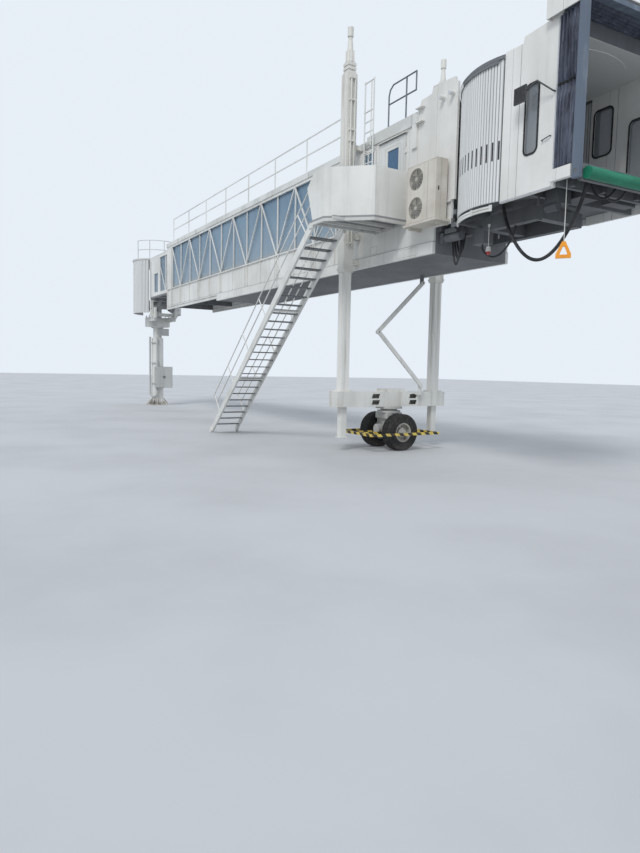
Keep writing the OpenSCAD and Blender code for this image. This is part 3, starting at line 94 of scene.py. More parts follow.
class Finish:
    """A material, its Principled shader and the nodes that feed it."""

    def __init__(self, name, **constants):
        self.material = bpy.data.materials.new(name)
        self.material.use_nodes = True
        self.tree = self.material.node_tree
        self.shader = self.tree.nodes["Principled BSDF"]
        for socket, value in constants.items():
            self.shader.inputs[socket.replace("_", " ")].default_value = value
        self.where = self.node("ShaderNodeTexCoord", out="Object")
        self.x, self.y, self.z = (self.node("ShaderNodeSeparateXYZ", {}, {0: self.where},
                                            out=k) for k in "XYZ")

    def node(self, kind, settings=None, values=None, out=0):
        made = self.tree.nodes.new(kind)
        for name, value in (settings or {}).items():
            if name == "stops":
                ramp = made.color_ramp
                while len(ramp.elements) < len(value):
                    ramp.elements.new(0.5)
                for element, (place, colour) in zip(ramp.elements, value):
                    element.position, element.color = place, colour
            else:
                setattr(made, name, value)
        for name, value in (values or {}).items():
            if isinstance(value, Wire):
                self.tree.links.new(value.socket, made.inputs[name])
            else:
                made.inputs[name].default_value = value
        return Wire(self, made.outputs[out])

    def noise(self, scale, detail=4, stretch=(1, 1, 1), rough=0.55):
        place = self.node("ShaderNodeMapping", {}, {"Vector": self.where, "Scale": stretch})
        return self.node("ShaderNodeTexNoise", {},
                         {"Vector": place, "Scale": scale, "Detail": detail, "Roughness": rough})

    def cells(self, scale, feature="F1", stretch=(1, 1, 1)):
        place = self.node("ShaderNodeMapping", {}, {"Vector": self.where, "Scale": stretch})
        return self.node("ShaderNodeTexVoronoi", {"feature": feature},
                         {"Vector": place, "Scale": scale}, out="Distance")

    def between(self, value, low, high):
        return self.node("ShaderNodeMapRange", {"interpolation_type": "SMOOTHSTEP"},
                         {0: value, 1: low, 2: high})

    def mix(self, mask, under, over):
        return self.node("ShaderNodeMix", {"data_type": "RGBA"}, {0: mask, 6: under, 7: over}, out=2)

    def feed(self, colour=None, rough=None, metal=None, alpha=None, height=None, depth=0.002, strength=0.5):
        for socket, value in (("Base Color", colour), ("Roughness", rough), ("Metallic", metal),
                              ("Alpha", alpha)):
            if value is not None:
                self.tree.links.new(value.socket, self.shader.inputs[socket])
        if height is not None:
            bump = self.node("ShaderNodeBump", {},
                             {"Height": height, "Distance": depth, "Strength": strength})
            self.tree.links.new(bump.socket, self.shader.inputs["Normal"])
        return self.material


def tint(red, green, blue):
    """A colour as a screen shows it, from 0 to 255, as the shader takes it."""
    linear = (c / 255 / 12.92 if c <= 10 else ((c / 255 + 0.055) / 1.055) ** 2.4
              for c in (red, green, blue))
    return (*linear, 1)


def wear(node, material):
    """Puts a material on a CAD node."""
    bpy.data.objects[node].data.materials.clear()
    bpy.data.objects[node].data.materials.append(material)


def sheath(name, dark, dusty, gloss):
    """Cable rubber with patches of dust and faint scuffs."""
    f = Finish(name, Specular_IOR_Level=0.4)
    scuff = f.between(f.noise(14, 5), 0.5, 0.75)
    dust = f.between(f.noise(2.2, 3), 0.35, 0.8) * 0.6
    colour = f.mix(dust, f.mix(scuff * 0.35, dark, dusty), dusty)
    return f.feed(colour, gloss + scuff * 0.2, height=f.noise(90, 2), depth=0.001, strength=0.3)


def swag(a, b, drop, n):
    """The line of a cable that leaves a, hangs in a loop and ends at b."""
    a, b = Vector(a), Vector(b)
    line = [a, a - Vector((0, 0, 0.04))]
    for i in range(n + 1):
        t = i / n
        line.append(a + t * (b - a) - Vector((0, 0, 0.08 + drop * max(0.0, math.sin(math.pi * t)) ** 0.7)))
    return line + [b - Vector((0, 0, 0.04)), b]


def hang_cable(name, line, diameter, body, material):
    """A round cable along a line; the line's length is summed but not used."""
    curve = bpy.data.curves.new(name, "CURVE")
    curve.dimensions = "3D"
    curve.bevel_depth = diameter / 2
    curve.bevel_resolution = 3
    curve.use_fill_caps = True
    spline = curve.splines.new("POLY")
    spline.points.add(len(line) - 1)
    for point, place in zip(spline.points, line):
        point.co = (*place, 1)
    cable = bpy.data.objects.new(name, curve)
    bpy.context.scene.collection.objects.link(cable)
    curve.materials.append(material)
    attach(cable, body)
    length = sum((q - p).length for p, q in zip(line, line[1:]))
    return cable


black_sheath = sheath("cable_black", tint(26, 27, 29), tint(92, 92, 92), 0.45)
cord_sheath = sheath("cord_white", tint(205, 205, 200), tint(150, 148, 142), 0.6)
motor_z, box_z, beam_z = 5.5297, 5.2297, 5.4794
loops = []
for k in range(3):
    y = -0.845 + k * 0.04
    line = swag((26.53 + k * 0.03, y, motor_z), (26.82 + k * 0.02, y, motor_z), 0.62 - k * 0.13, 24)
    loops.append(hang_cable("motor_cable_%d" % k, line, 0.045, "outer_tunnel", black_sheath))
line = swag((27.24, -0.57, box_z), (28.24, -0.6, beam_z), 0.36, 24)
loops.append(hang_cable("beam_cable", line, 0.045, "outer_tunnel", black_sheath))
for cable in loops:
    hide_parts("tunnel_cables")

cab_centre, cab_turn, floor_under = 28.2, math.radians(-3), 5.8997


def on_cab(x, y, z):
    """A point given from the cab's own turning axis, in the bridge's frame."""
    return (cab_centre + x * math.cos(cab_turn) - y * math.sin(cab_turn),
            x * math.sin(cab_turn) + y * math.cos(cab_turn), z)


def onto_cab(bm):
    """Moves a whole mesh, given from the cab's own turning axis, into the bridge's frame."""
    for v in bm.verts:
        v.co = on_cab(*v.co)


line = swag(on_cab(0.15, -1.045, floor_under), on_cab(2.28, -1.045, floor_under), 1.27, 32)
loops = [hang_cable("supply_cable", line, 0.07, "cab", black_sheath)]
for k in range(2):
    line = swag(on_cab(2.09, -0.7 + k * 0.3, floor_under),
                on_cab(2.37, -0.35 + k * 0.3, floor_under), 0.24, 20)
    loops.append(hang_cable("lead_cable_%d" % k, line, 0.045, "cab", black_sheath))
handle_top, cord_steps = 4.7103, 12
cord_fall = floor_under - handle_top - 0.0003
cord_line = [Vector(on_cab(2.15, -1.42, handle_top + cord_fall * i / cord_steps))
             for i in range(cord_steps, -1, -1)]
loops.append(hang_cable("pull_cord", cord_line, 0.016, "cab", cord_sheath))
for cable in loops:
    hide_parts("cab_cables")

# The light
# A bright overcast sky with a weak sun behind the camera's right shoulder; the camera
# and glass see a plain pale backdrop.
world = bpy.data.worlds.new("sky")
bpy.context.scene.world = world
world.use_nodes = True
tree = world.node_tree
sky = tree.nodes["Background"]
sky.inputs[0].default_value = (0.86, 0.92, 1.0, 1)
sky.inputs[1].default_value = 0.78
backdrop = tree.nodes.new("ShaderNodeBackground")
backdrop.inputs[0].default_value = (0.80, 0.86, 0.93, 1)
backdrop.inputs[1].default_value = 1.0
rays = tree.nodes.new("ShaderNodeLightPath")
seen = tree.nodes.new("ShaderNodeMath")
seen.operation = "MAXIMUM"
tree.links.new(rays.outputs["Is Camera Ray"], seen.inputs[0])
tree.links.new(rays.outputs["Is Transmission Ray"], seen.inputs[1])
choose = tree.nodes.new("ShaderNodeMixShader")
tree.links.new(seen.outputs[0], choose.inputs[0])
tree.links.new(sky.outputs[0], choose.inputs[1])
tree.links.new(backdrop.outputs[0], choose.inputs[2])
tree.links.new(choose.outputs[0], tree.nodes["World Output"].inputs[0])
sun_data = bpy.data.lights.new("sun", "SUN")
sun_data.energy = 1.5
sun_data.angle = math.radians(20)
sun = bpy.data.objects.new("sun", sun_data)
bpy.context.scene.collection.objects.link(sun)
sun.matrix_world = Vector((0.45, -0.6, 0.75)).to_track_quat("Z", "Y").to_matrix().to_4x4()
bpy.context.scene.view_settings.view_transform = "Standard"

# The floor
# A plain pale apron.
ground = bpy.data.meshes.new("ground")
bm = bmesh.new()
bmesh.ops.create_grid(bm, x_segments=1, y_segments=1, size=150)
bm.to_mesh(ground)
bm.free()
floor = bpy.data.objects.new("ground", ground)
bpy.context.scene.collection.objects.link(floor)
f = Finish("apron", Roughness=0.75)
stain = f.between(f.noise(0.25, 5), 0.35, 0.75)
apron = f.mix(stain, tint(196, 198, 200), tint(184, 186, 188))
ground.materials.append(f.feed(apron, height=f.noise(8, 4), depth=0.002, strength=0.2))


# The pedestal and its bearing collar
# A rolled steel tube on a gusseted flange, with a narrower stem above, shot-blasted and
# painted white; rain has left runs, and rust starts at the foot.
def seam(f, *frames, width=0.006):
    """A mask of the joints round rectangular panels, each given as its x and z limits."""
    lines = None
    for x0, x1, z0, z1 in frames:
        inner = (f.x > x0 + width) * (f.x < x1 - width) * (f.z > z0 + width) * (f.z < z1 - width)
        ring = (f.x > x0) * (f.x < x1) * (f.z > z0) * (f.z < z1) * (1 - inner)
        lines = ring if lines is None else lines + ring
    return lines


def painted(name, colour, grime, rust=0.15, runs=0.35, gloss=0.42, foot=None, dents=0.15,
            panels=(), deck=None, extra=None):
    """Brushed or sprayed paint with rain runs, handling dirt and small rust spots. foot is
    the height of splash dirt, panels gives joints, deck a height above which lies ribbed
    floor rubber, and extra a mask with its own colour."""
    f = Finish(name, Specular_IOR_Level=0.45)
    broad = f.between(f.noise(0.55, 5), 0.35, 0.75)
    drips = f.between(f.noise(5.0, 5, stretch=(1, 1, 0.07)), 0.45, 0.8)
    specks = f.between(f.noise(38, 6), 0.66, 0.74)
    patch = f.between(f.noise(1.7, 4), 0.55, 0.7)
    body = f.mix(drips * runs, f.mix(broad * 0.45, colour, grime), grime)
    worn = specks * patch * rust * 5
    if foot is not None:
        splash = (1 - f.between(f.z, 0.0, foot)) * f.between(f.noise(3, 6), 0.3, 0.7)
        body = f.mix(splash * 0.75, body, tint(120, 112, 100))
        worn = worn + splash * specks
    body = f.mix(worn, body, tint(124, 84, 56))
    skin = f.noise(160, 2) * 0.25 + f.noise(1.1, 3) * dents
    if panels:
        joints = seam(f, *panels)
        body = f.mix(joints * 0.75, body, tint(84, 84, 84))
        skin = skin - joints
    if extra:
        mask, over = extra(f)
        body = f.mix(mask, body, over)
    if deck is not None:
        tread = f.z > deck
        rib = f.node("ShaderNodeMath", {"operation": "PINGPONG"}, {0: f.y, 1: 0.012}) * 60
        body = f.mix(tread, body, f.mix(broad, tint(112, 118, 128), tint(92, 96, 104)))
        skin = skin + tread * rib
    return f.feed(body, gloss + broad * 0.12 + worn * 0.3, height=skin, depth=0.004, strength=0.35)


def new_piece(name, bm, body, material, smooth=False):
    """Makes a finished piece of a bmesh, with its normals outwards."""
    bmesh.ops.recalc_face_normals(bm, faces=bm.faces)
    mesh = bpy.data.meshes.new(name)
    bm.to_mesh(mesh)
    bm.free()
    if smooth:
        for polygon in mesh.polygons:
            polygon.use_smooth = True
    piece = bpy.data.objects.new(name, mesh)
    bpy.context.scene.collection.objects.link(piece)
    mesh.materials.append(material)
    if body:
        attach(piece, body)
    return piece


def place(bm, verts, scale=(1, 1, 1), turns=(), at=(0, 0, 0)):
    """Scales new vertices, turns them by degrees about named axes in order, and moves them."""
    bmesh.ops.scale(bm, verts=verts, vec=scale)
    for axis, degrees in turns:
        matrix = Matrix.Rotation(math.radians(degrees), 3, axis)
        bmesh.ops.rotate(bm, verts=verts, cent=(0, 0, 0), matrix=matrix)
    bmesh.ops.translate(bm, verts=verts, vec=at)
    return verts


def block(bm, low, high, chamfer=0.0):
    """A plate or box between two corners, with its edges eased where chamfer is given."""
    made = bmesh.ops.create_cube(bm, size=1)["verts"]
    place(bm, made, [b - a for a, b in zip(low, high)], at=[(a + b) / 2 for a, b in zip(low, high)])
    if chamfer:
        edges = list({e for v in made for e in v.link_edges})
        bmesh.ops.bevel(bm, geom=edges, offset=chamfer, affect="EDGES", segments=2, profile=0.5,
                        material=-1)


def bar(bm, a, b, radius, sides=16, radius_b=None):
    """A round bar between two points, tapered to radius_b where that is given."""
    a, b = Vector(a), Vector(b)
    end_radius = radius if radius_b is None else radius_b
    made = bmesh.ops.create_cone(bm, cap_ends=True, segments=sides, radius1=radius,
                                 radius2=end_radius, depth=(b - a).length)["verts"]
    bmesh.ops.rotate(bm, verts=made, cent=(0, 0, 0), matrix=(b - a).to_track_quat("Z", "Y").to_matrix())
    bmesh.ops.translate(bm, verts=made, vec=(a + b) / 2)


def hex_bolt(bm, at, along, size):
    """A washer, a hexagon nut and the end of its bolt, on a face whose outward direction is along."""
    at, along = Vector(at), Vector(along).normalized()
    bar(bm, at - along * 0.002, at + along * size * 0.12, size * 1.1, 20)
    bar(bm, at, at + along * size * 0.85, size * 0.85, 6)
    bar(bm, at, at + along * size * 1.25, size * 0.42, 12)


def moulded(name, clean, soiled, specular, soil, share, rough, grain, depth, stretch=(1, 1, 1)):
    """A moulded surface. soil gives its dirt's noise and limits, share how far that colours
    it, rough the clean roughness and what dirt adds, grain the bump's noise."""
    f = Finish(name, Specular_IOR_Level=specular)
    dirt = f.between(f.noise(soil[0], soil[1], stretch=stretch), soil[2], soil[3])
    colour = f.mix(dirt * share, clean, soiled)
    return f.feed(colour, rough[0] + dirt * rough[1], height=f.noise(*grain), depth=depth, strength=0.3)


white, white_grime = tint(226, 226, 222), tint(176, 174, 168)
wear("pedestal_column", painted("pedestal_paint", white, white_grime, rust=0.3, foot=0.9))
wear("swing_yoke", painted("yoke_paint", white, tint(160, 158, 152), rust=0.3))

# The bolts of the pedestal and of the pivots
# Zinc-plated anchor nuts on the flange, a ring of bolts on the bearing collar, and the
# nuts and split pins on the tunnel's two pivot pins.
zinc = Finish("bolt_zinc", Specular_IOR_Level=0.5)
tarnish = zinc.between(zinc.noise(30, 5), 0.4, 0.7)
zinc_coat = zinc.feed(zinc.mix(tarnish, tint(168, 166, 156), tint(110, 98, 82)),
                      0.4 + tarnish * 0.3, metal=0.8 - tarnish * 0.5, height=zinc.noise(200, 2),
                      depth=0.0006, strength=0.3)
bm = bmesh.new()
for i in range(12):
    angle = math.radians(i * 30)
    hex_bolt(bm, (0.59 * math.cos(angle), 0.59 * math.sin(angle), 0.04), (0, 0, 1), 0.034)
for i in range(24):
    angle = math.radians(i * 15 + 7.5)
    hex_bolt(bm, (0.318 * math.cos(angle), 0.318 * math.sin(angle), 4.5997), (0, 0, -1), 0.014)
new_piece("pedestal_bolts", bm, "pedestal", zinc_coat)
bm = bmesh.new()
for side in (-1, 1):
    hex_bolt(bm, (1.5, side * 0.79, 5.6), (0, side, 0), 0.036)
    for x in (1.2, 1.31):
        for z in (5.26, 5.33):
            hex_bolt(bm, (x, side * 0.8, z), (0, side, 0), 0.014)
new_piece("pivot_nuts", bm, "rotunda_frame", zinc_coat)

# The pipes, cabinet and junction box on the pedestal
# Grey plastic drain pipes and powder-coated steel boxes, screwed to brackets.
wear("pedestal_services",
     painted("service_paint", tint(190, 192, 190), tint(140, 140, 136), rust=0.25, gloss=0.5))

# The cabinet's doors
# Two folded doors with a rubber joint between them, hinges and swing handles.
door_coat = painted("cabinet_door_coat", tint(196, 198, 196), tint(146, 146, 142), rust=0.2, gloss=0.45)
dark_coat = moulded("dark_plastic", tint(38, 39, 41), tint(78, 78, 78), 0.45,
                    (25, 5, 0.45, 0.7), 0.6, (0.5, 0.2), (160, 3), 0.0008)
bm = bmesh.new()
for low, high in ((-0.285, 0.205), (0.215, 0.705)):
    block(bm, (0.6195, low, 1.07), (0.634, high, 2.28), 0.004)
new_piece("cabinet_doors", bm, "pedestal", door_coat)
bm = bmesh.new()
for y in (0.17, 0.25):
    block(bm, (0.6335, y - 0.014, 1.62), (0.648, y + 0.014, 1.76), 0.004)
    bar(bm, (0.64, y, 1.74), (0.668, y, 1.74), 0.012)
    block(bm, (0.66, y - 0.009, 1.63), (0.672, y + 0.009, 1.75), 0.003)
for y in (-0.288, 0.708):
    for z in (1.2, 2.12):
        bar(bm, (0.63, y, z), (0.63, y, z + 0.09), 0.009)
new_piece("cabinet_handles", bm, "pedestal", dark_coat)

# The rotunda
# A round steel room: plated floor on beams, a flat sheeted roof, and slat curtains that
# roll round with the tunnel. The corridor stub is cut off where the terminal begins.
wear("rotunda_floor",
     painted("rotunda_under_paint", tint(120, 122, 124), tint(82, 82, 80), rust=0.4, gloss=0.6, deck=5.99))
wear("rotunda_roof",
     painted("rotunda_roof_paint", tint(206, 208, 206), tint(150, 150, 146), rust=0.2, gloss=0.55))
wear("corridor_walls", painted("corridor_paint", tint(214, 214, 210), white_grime, runs=0.5))
wear("swing_portal", painted("portal_paint", white, white_grime, runs=0.4))


def slatted(name, colour, grime, centre, first, pitch, vents=None):
    """Roll-formed slats round an upright axis, pitch degrees apart from the first: painted
    shade in the recesses between slats, and louvre slots in every other slat of a band,
    painted dark as the shade inside them."""
    f = Finish(name, Specular_IOR_Level=0.5)
    angle = f.node("ShaderNodeMath", {"operation": "ARCTAN2"}, {0: f.y, 1: f.x - centre})
    degrees = f.node("ShaderNodeMath", {"operation": "ABSOLUTE"}, {0: angle * (180 / math.pi)})
    across = f.node("ShaderNodeMath", {"operation": "FRACT"}, {0: (degrees - first) / pitch})
    # A wide dark band between neighbouring slats: painted shade in the recess.
    shaded_joint = 1 - f.between(across, 0.08, 0.26) * (1 - f.between(across, 0.86, 0.98))
    drips = f.between(f.noise(7.0, 5, stretch=(1, 1, 0.05)), 0.4, 0.8)
    body = f.mix(drips * 0.3, colour, grime)
    body = f.mix(shaded_joint * 0.8, body, tint(104, 106, 108))
    rough = 0.38 + drips * 0.15
    height = f.noise(220, 2) * 0.1 - shaded_joint * 0.4
    if vents:
        low, high, start, stop = vents
        other = f.node("ShaderNodeMath", {"operation": "FRACT"}, {0: (degrees - first) / (2 * pitch)}) < 0.5
        band = (f.z > low) * (f.z < high) * (degrees > start) * (degrees < stop) * (f.y < 0) * other
        # Louvre slots painted near black, as the shade inside the openings.
        shaded_slot = band * (across > 0.3) * (across < 0.84)
        body = f.mix(shaded_slot, body, tint(36, 38, 42))
        rough = rough + shaded_slot * 0.3
        height = height - shaded_slot * 3
    return f.feed(body, rough, height=height, depth=0.004, strength=0.5)


slat_white, slat_grime = tint(220, 221, 220), tint(172, 172, 170)
wear("rotunda_curtain_near", slatted("rotunda_slats_near", slat_white, slat_grime, 0.0, 37, 121 / 30))
wear("rotunda_curtain_far", slatted("rotunda_slats_far", slat_white, slat_grime, 0.0, 37, 71 / 30))

# The inner tunnel
# Welded steel side frames with glass behind them on a plated floor; it runs inside the
# outer tunnel on sliding shoes.
wear("inner_floor",
     painted("inner_floor_paint", tint(128, 130, 131), tint(84, 84, 82), rust=0.35, gloss=0.6, deck=6.115))
for side in ("near", "far"):
    wear("inner_side_" + side,
         painted("inner_side_paint_" + side, white, white_grime, runs=0.3, panels=[(2.75, 3.1, 6.2, 7.9)]))
wear("inner_roof", painted("inner_roof_paint", tint(208, 210, 208), tint(150, 150, 148), rust=0.1))


def glazed(name, colour, deep, clear, panes=None):
    """Tinted float glass, its colour partly painted sky reflection: soft patches of painted
    reflection, a painted reflection that lightens the panes towards their foot, rain marks
    and dust along its lower edge.
    """
    f = Finish(name, Specular_IOR_Level=0.6, IOR=1.5)
    # Soft patches of painted sky reflection across the glass.
    painted_cloud_reflection = f.between(f.noise(0.35, 3), 0.3, 0.75)
    spots = f.between(f.noise(9, 6, stretch=(1, 1, 0.3)), 0.5, 0.8)
    body = f.mix(painted_cloud_reflection, colour, deep)
    if panes:
        low, high = panes
        # Painted sky reflection: the panes turn paler towards their foot.
        body = f.mix((1 - f.between(f.z, low, high)) * 0.45, body, tint(176, 190, 200))
        dust = (1 - f.between(f.z, low, low + 0.25)) * 0.5
        body = f.mix(dust, body, tint(178, 178, 172))
    return f.feed(body, 0.06 + spots * 0.12, alpha=clear + spots * 0.08 + painted_cloud_reflection * 0.05,
                  height=f.noise(1.4, 2), depth=0.003, strength=0.15)


# The light blue of this glass is partly painted sky reflection.
wear("inner_glass", glazed("inner_glass_tint", tint(120, 150, 172), tint(92, 122, 146), 0.62, (6.1, 8.2)))


# The bellows between the portal and the inner tunnel
# Dark coated fabric folded over wire frames, clamped to the portal and to the tunnel's end.
def coated_fabric(name, colour, fade_and_highlight, shade, strap=None, crumple=(9, 0.22)):
    """PVC-coated polyester: a fine weave, upright creases with painted shade in the valleys
    and a painted highlight on the ridges, and fading. strap is the height of a webbing strap,
    crumple the scale of the creases and how far they stretch downwards."""
    f = Finish(name, Specular_IOR_Level=0.35, Sheen_Weight=0.15, Sheen_Roughness=0.5)
    warp = f.node("ShaderNodeTexWave", {"bands_direction": "Z"},
                  {"Vector": f.where, "Scale": 260.0, "Distortion": 0.4})
    weft = f.node("ShaderNodeTexWave", {"bands_direction": "X"},
                  {"Vector": f.where, "Scale": 260.0, "Distortion": 0.4})
    creases = f.noise(crumple[0], 6, stretch=(1.6, 1.6, crumple[1]), rough=0.65)
    ridge_highlight, valley_shade = f.between(creases, 0.54, 0.7), f.between(creases, 0.5, 0.34)
    fade = f.between(f.noise(1.4, 4), 0.35, 0.7)
    # Painted highlight on the ridges and painted shade in the valleys; the fading colour also serves as the
    # highlight.
    body = f.mix(fade * 0.35 + ridge_highlight * 0.6, colour, fade_and_highlight)
    body = f.mix(valley_shade * 0.75, body, shade)
    height = warp * weft * 0.05 + creases * 3
    if strap:
        band = (f.z > strap - 0.025) * (f.z < strap + 0.025)
        body = f.mix(band, body, tint(22, 23, 27))
        height = height + band * 0.4
    return f.feed(body, 0.58 + ridge_highlight * 0.15, height=height, depth=0.014, strength=0.8)


bellows_cloth = coated_fabric("vestibule_cloth", tint(64, 66, 72), tint(104, 106, 110), tint(36, 38, 42))
low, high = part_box("vestibule_bellows")
folds = 15
step = (high[0] - low[0]) / (2 * folds)
bm = bmesh.new()
corners = [bm.verts.new((low[0], y, z)) for y,
           z in ((low[1], low[2]), (low[1], high[2]), (high[1], high[2]), (high[1], low[2]))]
edges = [bm.edges.new((corners[i], corners[i + 1])) for i in range(3)]
for i in range(2 * folds):
    out = bmesh.ops.extrude_edge_only(bm, edges=edges)
    moved = [v for v in out["geom"] if isinstance(v, bmesh.types.BMVert)]
    edges = [e for e in out["geom"] if isinstance(e, bmesh.types.BMEdge) and all(v in moved for v in e.verts)]
    inward = 0.055 if i % 2 == 0 else -0.055
    for v in moved:
        v.co.x += step
        v.co.y -= math.copysign(inward, v.co.y)
        if v.co.z > 7:
            v.co.z -= inward
bmesh.ops.solidify(bm, geom=bm.faces, thickness=0.004)
bellows = new_piece("vestibule_folds", bm, None, bellows_cloth)
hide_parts("vestibule_bellows")
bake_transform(bellows)

# The outer tunnel
# Two welded truss sides with a deep girder below the glass, a plated floor and a sheeted
# roof; all sprayed white, with the floor's underside left grey.
wear("outer_floor",
     painted("outer_floor_paint", tint(118, 120, 122), tint(78, 78, 77), rust=0.35, gloss=0.62, deck=5.99))
hatches = [(24.9, 25.75, 5.14, 5.34), (23.7, 24.0, 5.42, 5.62), (13.4, 14.2, 5.14, 5.34),
           (18.0, 18.9, 5.14, 5.34)]
for side in ("near", "far"):
    # The dark grey line at z 5.372–5.39 is painted shadow along the step where the girder's bottom beam
    # stands out from its web.
    wear("outer_side_" + side,
         painted("outer_side_paint_" + side, white, white_grime, rust=0.12, runs=0.45, dents=0.3,
                 panels=hatches,
                                       extra=lambda f: ((f.z > 5.372) * (f.z < 5.39) * 0.7,
                                                        tint(96, 96, 96))))
# The light blue of this glass is partly painted sky reflection.
wear("outer_glass", glazed("outer_glass_tint", tint(132, 162, 184), tint(104, 136, 160), 0.7, (6.25, 8.2)))


def roofed(name, colour, grime, pitch):
    """Painted roof sheet with laps every pitch, standing-water rings and lichen."""
    f = Finish(name, Specular_IOR_Level=0.4)
    lap = 1 - f.between(f.node("ShaderNodeMath", {"operation": "PINGPONG"},
                               {0: f.x, 1: pitch / 2}), 0.0, 0.05)
    pool = f.between(f.noise(0.9, 6), 0.45, 0.55) * f.between(f.noise(0.9, 6), 0.75, 0.6)
    lichen = f.between(f.cells(60), 0.12, 0.0) * f.between(f.noise(2, 4), 0.5, 0.7)
    body = f.mix(lap * 0.4 + pool * 0.3, colour, grime)
    body = f.mix(lichen * 0.6, body, tint(120, 124, 96))
    return f.feed(body, 0.5 + pool * 0.15, height=f.noise(120, 2) * 0.2 + lap * 0.6, depth=0.004,
                  strength=0.4)


wear("outer_roof", roofed("outer_roof_paint", tint(216, 217, 214), tint(160, 160, 154), 2.54))

# The closed front section and its service door
# Flat steel panels over the frame, with a corner post, a raised end wall, a drip rail,
# and an outward-opening door with a dark glazed light.
sheets = [(23.9, 25.3, 6.2, 8.3), (24.03, 25.17, 6.2, 8.21), (25.62, 26.3, 6.2, 8.95),
          (22.3, 23.9, 6.2, 8.24)]
for side in ("near", "far"):
    wear("front_wall_" + side,
         painted("front_wall_paint_" + side, tint(228, 227, 223), tint(182, 180, 172), rust=0.1,
                 runs=0.4, dents=0.35, panels=sheets))
wear("service_door", painted("door_paint", tint(222, 223, 220), tint(170, 168, 162), rust=0.15, runs=0.3,
                             panels=[(24.12, 25.08, 6.32, 8.12), (24.3, 24.96, 7.17, 8.03)]))
wear("door_glass", glazed("door_glass_tint", tint(72, 112, 146), tint(52, 88, 120), 0.93))

# The door's lever and the end wall's lamp lenses
# A cast lever on a rose by the leaf's free edge, and clear domed lenses on the two lamps.
bm = bmesh.new()
lever_x, lever_z, leaf_y = 24.14, 7.02, -1.2638
bar(bm, (lever_x, leaf_y, lever_z), (lever_x, -1.272, lever_z), 0.028, 24)
bar(bm, (lever_x, -1.271, lever_z), (lever_x, -1.312, lever_z), 0.010)
bar(bm, (lever_x, -1.308, lever_z), (24.27, -1.308, lever_z), 0.009)
bar(bm, (lever_x, leaf_y, 6.93), (lever_x, -1.274, 6.93), 0.016, 24)
new_piece("door_lever", bm, "door", dark_coat)
lens_coat = moulded("lamp_lens", tint(206, 212, 214), tint(150, 152, 150), 0.6,
                    (20, 4, 0.4, 0.7), 0.5, (0.12, 0.25), (90, 2), 0.0006)
bm = bmesh.new()
for x in (26.53, 26.85):
    bar(bm, (x, -1.3977, 8.57), (x, -1.408, 8.57), 0.05, 32, 0.036)
new_piece("lamp_lenses", bm, "outer_tunnel", lens_coat)

# The rails, the ladder and the guard on the roof
# Handrail tube and ladder stiles painted white; the guard over the door is galvanised.
wear("roof_rails", painted("rail_paint", tint(224, 225, 222), tint(168, 166, 158), rust=0.35))


def galvanised(name, colour, dull):
    """Hot-dip zinc with its crystal spangle, dulled where it is handled."""
    f = Finish(name, Specular_IOR_Level=0.5)
    spangle = f.cells(70)
    dulled = f.between(f.noise(6, 5), 0.4, 0.7)
    body = f.mix(spangle * 0.7 + dulled * 0.4, colour, dull)
    return f.feed(body, 0.42 + dulled * 0.2, metal=0.75 - dulled * 0.3, height=spangle,
                  depth=0.0008, strength=0.3)


wear("roof_guard", galvanised("guard_zinc", tint(132, 140, 148), tint(92, 98, 104)))

# The lift towers, columns and carriage beam
# Square welded sleeves over greased square columns, each with its screw's housing and cap
# on top, standing on a box beam with leaning slots.
wear("lift_towers", painted("tower_paint", tint(222, 221, 214), tint(160, 156, 146), rust=0.45, runs=0.6))


def greased(name, colour, grime, grease, low, high):
    """Painted column with grease drawn out along its length between two heights."""
    f = Finish(name, Specular_IOR_Level=0.5)
    drips = f.between(f.noise(8.0, 5, stretch=(1, 1, 0.05)), 0.42, 0.75)
    specks = f.between(f.noise(34, 6), 0.66, 0.74)
    film = f.between(f.z, low, low + 0.4) * (1 - f.between(f.z, high - 0.4, high)) * drips
    body = f.mix(drips * 0.35, colour, grime)
    body = f.mix(film * 0.4, body, grease)
    body = f.mix(specks * 0.5, body, tint(124, 84, 56))
    return f.feed(body, 0.45 - film * 0.2 + specks * 0.3,
                  height=f.noise(150, 2) * 0.2 + film * 0.2, depth=0.003, strength=0.35)


wear("lift_columns",
     greased("column_paint", tint(226, 225, 220), tint(176, 173, 165), tint(126, 118, 100), 2.2, 6.2))
wear("carriage_beam", painted("beam_paint", tint(222, 222, 217), tint(160, 156, 146), rust=0.35, runs=0.5))

# The landing, its parapet and the service stair
# A galvanised grating floor in a steel rim, sheet parapets, and a hinged flight of open
# treads between channel stringers that rolls on two wheels at its foot.
wear("landing_floor", painted("landing_paint", tint(212, 212, 208), tint(150, 148, 142), rust=0.3,
                              extra=lambda f: ((f.z > 6.0) * 0.8, tint(120, 122, 124))))
wear("landing_parapet",
     painted("parapet_paint", tint(226, 226, 222), tint(180, 178, 170), rust=0.2, runs=0.55, dents=0.5))
wear("stair_stringers", painted("stringer_paint", tint(224, 224, 220), tint(165, 162, 154), rust=0.4))
wear("stair_rails", painted("stair_rail_paint", tint(226, 226, 222), tint(168, 165, 158), rust=0.35))


